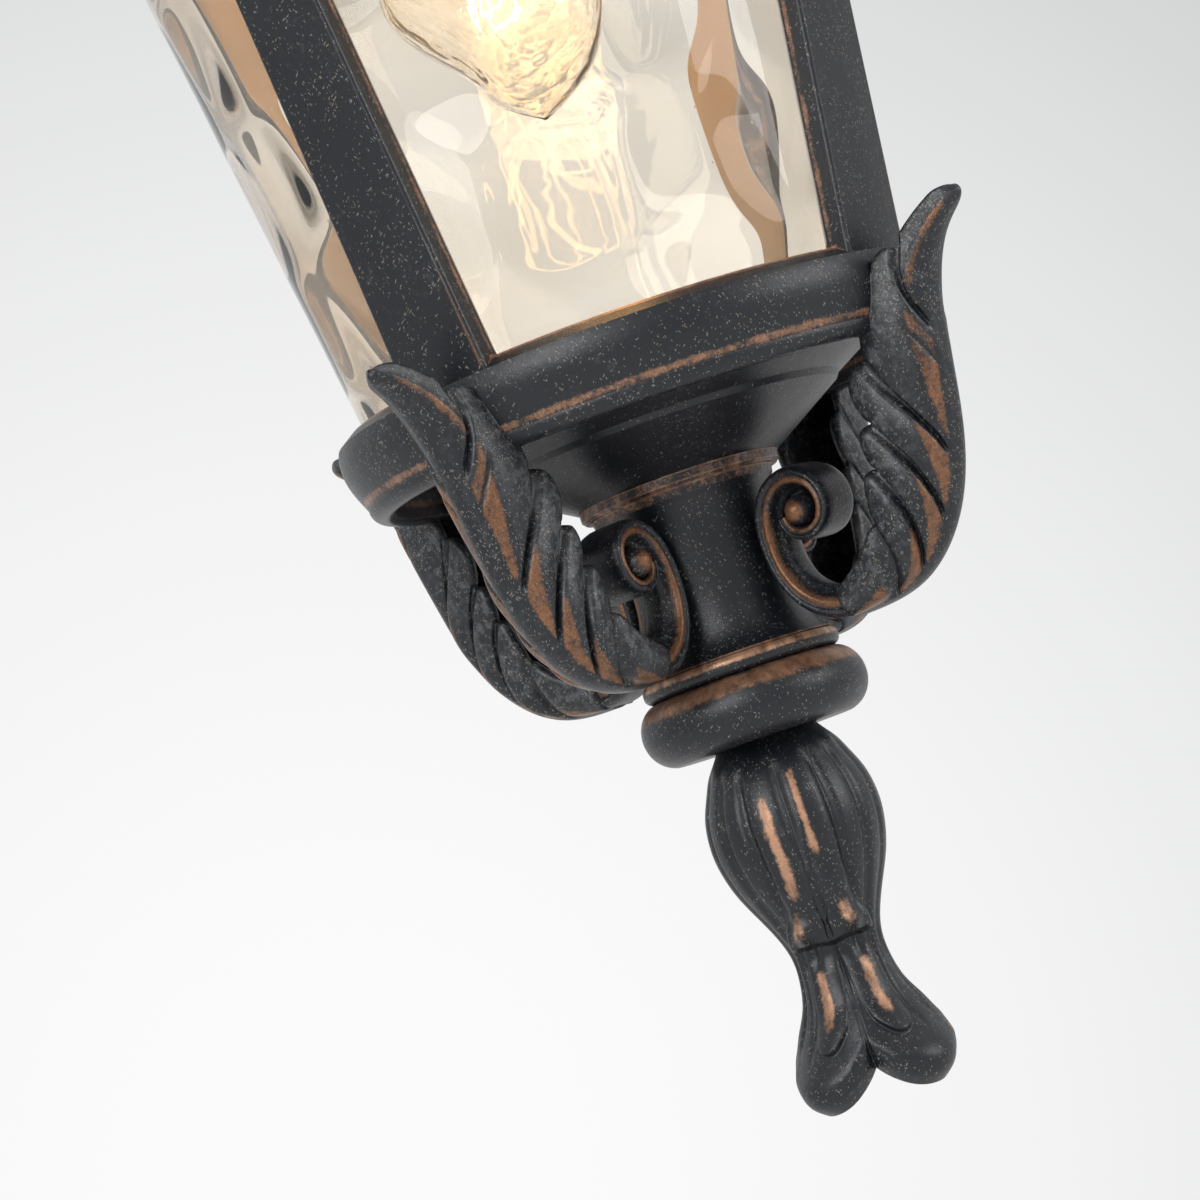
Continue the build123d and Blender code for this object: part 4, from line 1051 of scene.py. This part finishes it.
class LANTERN_OT_lamp(bpy.types.Operator):
    """Lit filament lamp with its clear bulb and porcelain holder"""

    bl_idname = "lantern.lamp"
    bl_label = "Lamp"

    def execute(self, context):
        sizes = context.scene.lantern_lamp
        look = Finish("bulb_clear")
        tint = look.mix(look.noise(40.0, 2.0), (1.0, 0.985, 0.95), (1.0, 0.965, 0.90))
        low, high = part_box("bulb_filament")
        level = look.part_of(look.place, "Z")
        middle, reach = (low.z + high.z) / 2, high.z - low.z
        near = 1 - look.rise((level - middle) * (level - middle), 0.0, reach * reach)
        glow = look.mix(near * (1 - look.facing()) ** 2.0, (0.0, 0.0, 0.0), sizes.halo)
        upright = look.vector("MULTIPLY", look.place, (110.0, 110.0, 36.0))
        waves = look.bump(look.noise(1.0, 2.0, place=upright), sizes.bulb_waves)
        shade = (0.99, 0.96, 0.90)
        bulb = clear_glass(look, tint, shade, rough=0.03, index=1.40, normal=waves, glow=glow)
        dress(bulb, "bulb_glass")

        look = Finish("bulb_stem_glass")
        tint = look.mix(look.noise(200.0, 2.0), (0.95, 0.96, 0.95), (0.85, 0.87, 0.86))
        dress(clear_glass(look, tint, (0.95, 0.95, 0.95), rough=0.05, index=1.45), "bulb_stem")

        look = Finish("glowing_filament")
        dimmer = tuple(channel * 0.8 for channel in sizes.glow)
        emitting = look.metal_or_paint(
            Base_Color=(0.6, 0.45, 0.25),
            Roughness=0.5,
            Emission_Color=look.mix(look.noise(90.0, 2.0), sizes.glow, dimmer),
            Emission_Strength=sizes.strength,
        )
        dress(emitting, "bulb_filament")

        look = Finish("porcelain")
        cream = look.mix(look.noise(60.0, 3.0), (0.78, 0.76, 0.70), (0.84, 0.83, 0.79))
        specks = look.rise(look.noise(900.0, 1.0), 0.72, 0.78)
        cream = look.mix(specks * 0.4, cream, (0.45, 0.40, 0.33))
        glaze = look.metal_or_paint(
            Base_Color=cream,
            Roughness=look.noise(120.0, 2.0) * 0.15 + 0.12,
            Coat_Weight=0.5,
            Normal=look.bump(look.noise(150.0, 3.0), 0.2 * MM),
        )
        dress(glaze, "lampholder")

        light = bpy.data.lights.new("lamp_glow", "POINT")
        light.color = sizes.glow
        light.energy = sizes.light_power
        light.shadow_soft_size = 0.018
        lamp = bpy.data.objects.new("lamp_glow", light)
        low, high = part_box("bulb_filament")
        lamp.location = (low + high) / 2
        bpy.context.scene.collection.objects.link(lamp)
        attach(lamp, "lantern")
        return {"FINISHED"}


# Plated and plain metals: colour and roughness, then the nodes that have them.
METALS = {
    "nickel_cap": ((0.62, 0.58, 0.50), 0.22, ("bulb_cap",)),
    "brass_shell": ((0.72, 0.50, 0.22), 0.28, ("lampholder_shell", "centre_contact")),
    "brass_tube": ((0.68, 0.48, 0.20), 0.26, ("canopy_nipple", "stem_nipple")),
    "blackened_steel": ((0.10, 0.095, 0.09), 0.42, ("bracket_screws", "pan_screws")),
    "zinc_plate": (
        (0.60, 0.60, 0.58),
        0.34,
        (
            "mounting_strap",
            "lamp_bracket",
            "strap_locknut",
            "stem_locknut",
            "tie_rod",
            "tie_rod_nut",
            "tie_rod_washer",
            "roof_studs",
        ),
    ),
}


def plated_finish(name, colour, roughness):
    """Plated or plain metal with fine scratches and slight stains."""
    look = Finish(name)
    stain = look.noise(120.0, 4.0, roughness=0.6)
    dull = tuple(channel * 0.72 for channel in colour)
    upright = look.vector("MULTIPLY", look.place, (2600.0, 2600.0, 180.0))
    scratches = look.noise(1.0, 3.0, place=upright)
    return look.metal_or_paint(
        Base_Color=look.mix(look.rise(stain, 0.35, 0.7), colour, dull),
        Metallic=1.0,
        Roughness=stain * 0.18 + (scratches * 0.10 + roughness - 0.1),
        Normal=look.bump(scratches, 0.05 * MM),
    )


def rubber_finish(name):
    """Dark soft seal with a dull, dusty skin."""
    look = Finish(name)
    skin = look.noise(500.0, 4.0)
    return look.metal_or_paint(
        Base_Color=look.mix(look.rise(skin, 0.4, 0.7), (0.02, 0.02, 0.021), (0.05, 0.048, 0.045)),
        Roughness=skin * 0.2 + 0.62,
        Normal=look.bump(skin, 0.1 * MM),
    )


# Inner face of the cage's posts at the band's top edge, out from the axis.
CAGE_INNER = 69.2


def cage_depth(look):
    """How far out from the cage's inner face a point lies, and its height above the band."""
    level = look.part_of(look.place, "Z") - BAND_TOP
    flat = look.vector("MULTIPLY", look.place, (1.0, 1.0, 0.0))
    return look.measure("LENGTH", flat) - (level * CAGE_SLOPE + CAGE_INNER * MM), level


def cage_rub(look):
    """Rub of the cage: the band's ridge and window lip, all edges and the posts' sides."""
    reach, level = cage_depth(look)
    ridge = level_band(look, -15.0 * MM, -12.8 * MM, 0.9 * MM)
    lip = level_band(look, 1.9 * MM, 3.0 * MM, 0.3 * MM)
    lip = lip * (1 - look.rise(reach, 2.6 * MM, 3.2 * MM))
    band_top = level_band(look, -1.0 * MM, 1.0 * MM, 0.3 * MM)
    edges = edge_wear(look, 1.0 * MM) * (1 - band_top * 0.8)
    side = look.rise(reach, 0.5 * MM, 1.0 * MM) * (1 - look.rise(reach, 1.4 * MM, 3.0 * MM))
    side = side * look.rise(level, 3.2 * MM, 4.5 * MM)
    return ridge * 0.66 + lip * 0.8 + edges * 0.80 + side * 0.60


def cage_lamplit_inside(look):
    """Mask of the posts' faces behind the glass, which painted lamplight lightens to taupe."""
    reach, level = cage_depth(look)
    return (1 - look.rise(reach, 0.0, 0.4 * MM)) * look.rise(level, 3.0 * MM, 4.5 * MM)


class LANTERN_OT_cast_pieces(bpy.types.Operator):
    """Cast finish on the cage, roof, crown, chain, canopy and the turned pieces of the foot"""

    bl_idname = "lantern.cast_pieces"
    bl_label = "Cast Pieces"

    def execute(self, context):
        turned = {"bright": 0.95, "grainy": 0.2}
        neck = turned_rub(-37.2 * MM, -32.2 * MM, strength=0.5)
        bead = turned_rub(-78.6 * MM, -76.2 * MM)
        shoulder = turned_rub(-86.0 * MM, -80.8 * MM, 1.7 * MM)
        dress(cast_finish("cage_cast", cage_rub, inner=cage_lamplit_inside), "cage")
        dress(cast_finish("pan_cast", edge_rub(0.35), flecks=0.5), "bottom_pan")
        dress(cast_finish("neck_cast", neck, **turned), "bottom_neck")
        dress(cast_finish("bead_cast", bead, **turned), "bead_ring")
        collar = cast_finish("collar_cast", shoulder, bright=0.6, grainy=0.2, brown=0.4)
        dress(collar, "torus_collar")
        dress(cast_finish("roof_cast", edge_rub(0.8)), "roof", "roof_crown", "roof_ball_nuts")
        chain = [f"chain_link_{number}" for number in range(1, 8)]
        dress(cast_finish("chain_cast", edge_rub(0.3)), *chain, "canopy_loop", "lantern_loop")
        dress(cast_finish("canopy_cast", edge_rub(0.8)), "canopy", "canopy_collar")
        return {"FINISHED"}


class LANTERN_OT_fasteners(bpy.types.Operator):
    """Plated strap, screws, nuts, stems and lamp cap, green ground screw and soft seals"""

    bl_idname = "lantern.fasteners"
    bl_label = "Fasteners and Seals"

    def execute(self, context):
        for name, (metal, roughness, nodes) in METALS.items():
            dress(plated_finish(name, metal, roughness), *nodes)
        dress(rubber_finish("soft_seal"), "lower_glass_gasket", "upper_glass_gasket")
        look = Finish("green_screw")
        worn = look.noise(700.0, 3.0)
        green = look.mix(look.rise(worn, 0.55, 0.7), (0.03, 0.28, 0.09), (0.25, 0.42, 0.22))
        roughness = worn * 0.2 + 0.3
        paint = look.metal_or_paint(Base_Color=green, Metallic=0.4, Roughness=roughness)
        dress(paint, "ground_screw")
        return {"FINISHED"}


# Stage


def camera_place(stage):
    """Matrix of the camera: its place from the fit of the view, in metres."""
    roll, tilt = stage.camera_roll, stage.camera_tilt
    level = math.cos(tilt)
    forward = np.array((math.sin(roll) * level, math.cos(roll) * level, math.sin(tilt)))
    across = np.array((math.cos(roll), -math.sin(roll), 0.0))
    down = np.cross(forward, across)
    down = -down if down[2] > 0 else down
    facing = stage.camera_azimuth
    side = np.array((math.cos(facing), math.sin(facing), 0.0))
    back = np.array((math.sin(facing), -math.cos(facing), 0.0))
    axis = np.array((0.0, 0.0, -1.0))
    turn = np.outer(side, across) + np.outer(back, down) + np.outer(axis, forward)
    place = np.array((0.0, 0.0, BAND_TOP)) - turn @ np.array(stage.camera_offset)
    rows = np.column_stack((turn[:, 0], -turn[:, 1], -turn[:, 2], place))
    return Matrix([*rows.tolist(), [0, 0, 0, 1]])


# Rays that see the background and the floor at their own brightness.
SEEN_RAYS = ("Is Camera Ray", "Is Glossy Ray", "Is Transmission Ray")


class LANTERN_OT_stage(bpy.types.Operator):
    """Pale floor and background, soft lamps and the camera"""

    bl_idname = "lantern.stage"
    bl_label = "Studio Stage"

    def execute(self, context):
        sizes = context.scene.lantern_stage
        scene = context.scene
        scene.view_settings.view_transform = "Standard"

        data = bpy.data.cameras.new("view_camera")
        data.lens = sizes.camera_lens
        data.sensor_width = 36.0
        data.clip_start = 0.01
        camera = bpy.data.objects.new("view_camera", data)
        camera.matrix_world = camera_place(sizes)
        scene.collection.objects.link(camera)
        scene.camera = camera

        world = Finish("studio_world", world=True)
        ray = world.node("TexCoord").other("Generated")
        brightest = camera.matrix_world.to_3x3() @ Vector(sizes.bright_spot).normalized()
        nearness = world.measure("DOT_PRODUCT", ray, brightest)
        sockets = {"Value": nearness, "From Min": sizes.fall_end, "From Max": 1.0}
        fall = world.node("MapRange", {}, sockets)
        pale = world.mix(fall, sizes.high_background, sizes.low_background)
        shown = world.node("Background", {}, {"Color": pale, "Strength": 1.0})
        fill = world.node("Background", {}, {"Color": (1.0, 1.0, 1.0), "Strength": sizes.fill})
        seen = world.ray_share(*SEEN_RAYS)
        mixed = world.node("MixShader", {}, {0: seen, 1: fill, 2: shown})
        world.node("OutputWorld", {}, {"Surface": mixed})
        scene.world = world.block

        reach = sizes.floor_size / 2
        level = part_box("finial")[0].z - sizes.floor_drop
        steps = 12
        line = np.linspace(-reach, reach, steps)
        x, y = np.meshgrid(line, line)
        points = np.stack((x, y, np.full_like(x, level)), -1).reshape(-1, 3)
        mesh = bpy.data.meshes.new("floor")
        mesh.from_pydata(points.tolist(), [], grid_faces(steps, steps, False))
        floor = bpy.data.objects.new("floor", mesh)
        scene.collection.objects.link(floor)
        look = Finish("pale_floor")
        paint = look.mix(look.noise(6.0, 3.0), (0.80, 0.80, 0.80), (0.84, 0.84, 0.84))
        diffuse = look.node("BsdfDiffuse", {}, {"Color": paint})
        glow = look.node("Emission", {}, {"Color": sizes.low_background, "Strength": 1.0})
        seen = look.ray_share(*SEEN_RAYS) * sizes.floor_glow
        look.surface(look.node("MixShader", {}, {0: seen, 1: diffuse, 2: glow}))
        mesh.materials.append(look.block)

        for name, place, size, power in (
            ("key_softbox", (-0.9, -1.1, -0.05), 0.9, sizes.key_power),
            ("side_softbox", (1.2, -0.7, -0.30), 0.8, sizes.side_power),
            ("top_softbox", (0.2, 0.3, 1.0), 1.2, sizes.top_power),
        ):
            light = bpy.data.lights.new(name, "AREA")
            light.shape = "SQUARE"
            light.size = size
            light.energy = power
            lamp = bpy.data.objects.new(name, light)
            lamp.location = place
            aim = Vector((0.0, 0.0, BAND_TOP - 0.05)) - Vector(place)
            lamp.rotation_euler = aim.to_track_quat("-Z", "Y").to_euler()
            scene.collection.objects.link(lamp)
        return {"FINISHED"}


# Settings


def setting(kind, **limits):
    """Maker of properties of one kind: it takes a name, a description and a default."""

    def make(name, description, default):
        return kind(name=name, description=description, default=default, **limits)

    return make


length = setting(FloatProperty, unit="LENGTH", min=0.0)
share = setting(FloatProperty, subtype="FACTOR", min=0.0, max=1.0)
number = setting(FloatProperty, min=0.0)
power = setting(FloatProperty, unit="POWER", min=0.0)
turn_angle = setting(FloatProperty, subtype="ANGLE")
count = setting(IntProperty, min=8)
colour = setting(FloatVectorProperty, subtype="COLOR", size=3, min=0.0, max=1.0)
direction = setting(FloatVectorProperty, size=3)
place_of = setting(FloatVectorProperty, size=3, unit="LENGTH")


class LanternCast(bpy.types.PropertyGroup):
    """Sizes and colours of the cast finish."""

    charcoal: colour("Charcoal", "Bluish black of the cast finish", (0.0092, 0.0110, 0.0158))
    dust: colour("Dust", "Grey of the rubbed, dusty patches", (0.075, 0.078, 0.080))
    # Grey of dust and of painted light on the carved lobes' heads.
    powder: colour("Powder", "Grey of the carved lobes' dusty heads", (0.070, 0.075, 0.082))
    fleck: colour("Fleck", "Pale grey flecks", (0.34, 0.335, 0.30))
    fleck_warm: colour("Warm fleck", "Yellowish flecks", (0.31, 0.265, 0.18))
    copper: colour("Copper", "Rubbed copper, bright", (0.58, 0.320, 0.195))
    copper_dark: colour("Dark copper", "Rubbed copper, worn thin", (0.095, 0.048, 0.030))
    copper_brown: colour("Brown copper", "Rubbed copper of the leaves", (0.37, 0.165, 0.072))
    # Painted lamplight: taupe that lightens the posts' dark faces behind the glass.
    inner: colour("Inner face", "Taupe of the posts' faces behind the glass", (0.42, 0.365, 0.325))
    fleck_length: length("Fleck length", "Length of one fleck", 0.0018)
    fleck_width: length("Fleck width", "Width of one fleck", 0.00034)
    fleck_share: share("Fleck share", "Share of the cells that hold a fleck", 0.10)
    fleck_strength: share("Fleck strength", "How strongly a fleck covers the finish", 0.60)
    rub: number("Rub", "Strength of the copper rub", 0.95)
    roughness: share("Roughness", "Mean roughness of the finish", 0.30)
    specular: share("Specular", "Specular level of the finish", 0.50)
    grain_depth: length("Grain depth", "Height of the cast grain", 0.00016)


class LanternLeaf(bpy.types.PropertyGroup):
    """Sizes of the leaf brackets."""

    width: length("Leaf width", "Width across the leaf's trough", 0.0186)
    depth: length("Leaf depth", "Depth of the trough", 0.0190)
    wall: length("Wall", "Thickness of the leaf", 0.0034)
    scallop: length("Scallop", "Height of the lobes' tips above the notches", 0.0046)
    vein_depth: length("Vein depth", "Depth of the grooves between lobes", 0.0016)
    crown: length("Crown", "Height of each lobe's crown", 0.0011)
    slant: share("Slant", "Rise of the lobes towards the edge, as a share of the run", 0.26)
    scroll_width: length("Scroll width", "Width across the scroll", 0.0140)
    eye_size: length("Eye radius", "Radius of the scroll's eye", 0.0036)
    eye_stand: length("Eye stand", "Height of the eye above the scroll's side", 0.0016)


class LanternFinial(bpy.types.PropertyGroup):
    """Sizes of the finial's mesh."""

    rows: count("Rows", "Rings of the finial", 360)
    columns: count("Columns", "Points round the finial", 480)
    cleft: length("Cleft", "Height of the clefts between the foot petals", 0.0076)


class LanternGlass(bpy.types.PropertyGroup):
    """Sizes and colours of the hammered glass."""

    tint: colour("Tint", "Champagne tint of one wall", (0.988, 0.950, 0.885))
    deep_tint: colour("Deep tint", "Deeper tint in thick places", (0.972, 0.915, 0.825))
    # Amber at a slant, partly a painted reflection of the brown posts.
    slant_tint_and_reflection: colour("Edge tint", "Amber where the wall is seen at a slant", (0.74, 0.55, 0.36))
    # Painted shade that darkens the glass's outline to brown.
    painted_rim_shade: colour("Rim tint", "Brown of the outline", (0.30, 0.22, 0.17))
    shade: colour("Shade", "Tint of the light that falls through one face", (0.97, 0.93, 0.86))
    dimple_width: length("Dimple width", "Width of one dimple", 0.0300)
    dimple_height: length("Dimple height", "Height of one dimple", 0.0340)
    dimple_depth: length("Dimple depth", "Depth of one dimple, on the inner face", 0.00085)
    dimple_sharpness: number("Dimple sharpness", "How narrow the ridges between dimples are", 5.5)
    outer_share: share("Outer share", "Share of the dimple that shows outside", 0.10)
    columns: count("Columns", "Points round the glass", 480)
    rows: count("Rows", "Points up the glass", 220)


class LanternLamp(bpy.types.PropertyGroup):
    """Colour and strength of the lamp."""

    glow: colour("Glow", "Colour of the lit filament", (1.0, 0.62, 0.28))
    halo: colour("Halo", "Soft glow of the bulb in front of the filament", (0.11, 0.075, 0.036))
    bulb_waves: length("Bulb waves", "Height of the ripples in the bulb's glass", 0.0012)
    strength: number("Strength", "Emission of the filament", 14.0)
    light_power: power("Light", "Power of the lamp's light", 0.14)


class LanternStage(bpy.types.PropertyGroup):
    """Camera, lamps and background."""

    camera_roll: turn_angle("Roll", "Lean of the lantern in the view", 0.32998721)
    camera_tilt: turn_angle("Tilt", "Tilt of the camera", -0.07153846)
    camera_azimuth: turn_angle("Azimuth", "Side from which the camera looks", math.radians(-8.75))
    camera_offset: place_of(
        "Offset",
        "Middle of the band's top edge in the camera's own axes",
        (0.0082728, -0.0584932, 0.9634968),
    )
    camera_lens: number("Lens", "Focal length in millimetres", 120.0)
    low_background: colour("Low background", "Background at its brightest", (0.965, 0.965, 0.965))
    high_background: colour("High background", "Background away from there", (0.655, 0.66, 0.665))
    bright_spot: direction(
        "Bright spot",
        "Direction of the brightest background in the camera's own axes",
        (-0.062, -0.143, -1.0),
    )
    fall_end: share("Fall end", "Cosine of the angle at which the background stops fading", 0.936)
    floor_size: length("Floor", "Side of the floor", 3.6)
    floor_drop: length("Floor drop", "Height of the finial above the floor", 0.32)
    floor_glow: share("Floor glow", "Share of the background's brightness on the floor", 0.55)
    fill: number("Fill", "Strength of the even light", 0.50)
    key_power: power("Key", "Power of the key lamp", 13.0)
    side_power: power("Side", "Power of the side lamp", 7.0)
    top_power: power("Top", "Power of the top lamp", 8.0)


OPERATORS = (
    LANTERN_OT_stage,
    LANTERN_OT_cast_pieces,
    LANTERN_OT_fasteners,
    LANTERN_OT_glass,
    LANTERN_OT_lamp,
    LANTERN_OT_leaf_brackets,
    LANTERN_OT_finial,
)
GROUPS = {
    "lantern_cast": LanternCast,
    "lantern_leaf": LanternLeaf,
    "lantern_finial": LanternFinial,
    "lantern_glass": LanternGlass,
    "lantern_lamp": LanternLamp,
    "lantern_stage": LanternStage,
}


class LANTERN_PT_sidebar(bpy.types.Panel):
    """Buttons for the lantern's pieces, with their sizes and colours below"""

    bl_idname = "LANTERN_PT_sidebar"
    bl_label = "Chain Hanging Lantern"
    bl_space_type = "VIEW_3D"
    bl_region_type = "UI"
    bl_category = "Lantern"

    def draw(self, context):
        column = self.layout.column(align=True)
        for operator in OPERATORS:
            column.operator(operator.bl_idname)
        for name, group in GROUPS.items():
            box = self.layout.box()
            box.label(text=group.__doc__)
            for size in group.__annotations__:
                box.prop(getattr(context.scene, name), size)


def register():
    """Register the settings, the operators and the panel."""
    for name, group in GROUPS.items():
        bpy.utils.register_class(group)
        setattr(bpy.types.Scene, name, PointerProperty(type=group))
    for operator in OPERATORS:
        bpy.utils.register_class(operator)
    bpy.utils.register_class(LANTERN_PT_sidebar)


def unregister():
    """Take everything back out."""
    bpy.utils.unregister_class(LANTERN_PT_sidebar)
    for operator in reversed(OPERATORS):
        bpy.utils.unregister_class(operator)
    for name, group in reversed(GROUPS.items()):
        delattr(bpy.types.Scene, name)
        bpy.utils.unregister_class(group)


def main():
    """Register the settings and build every piece in order."""
    register()
    for operator in OPERATORS:
        group, action = operator.bl_idname.split(".")
        result = getattr(getattr(bpy.ops, group), action)()
        if result != {"FINISHED"}:
            raise RuntimeError(f"{operator.bl_label} did not finish")


if __name__ == "__main__":
    main()
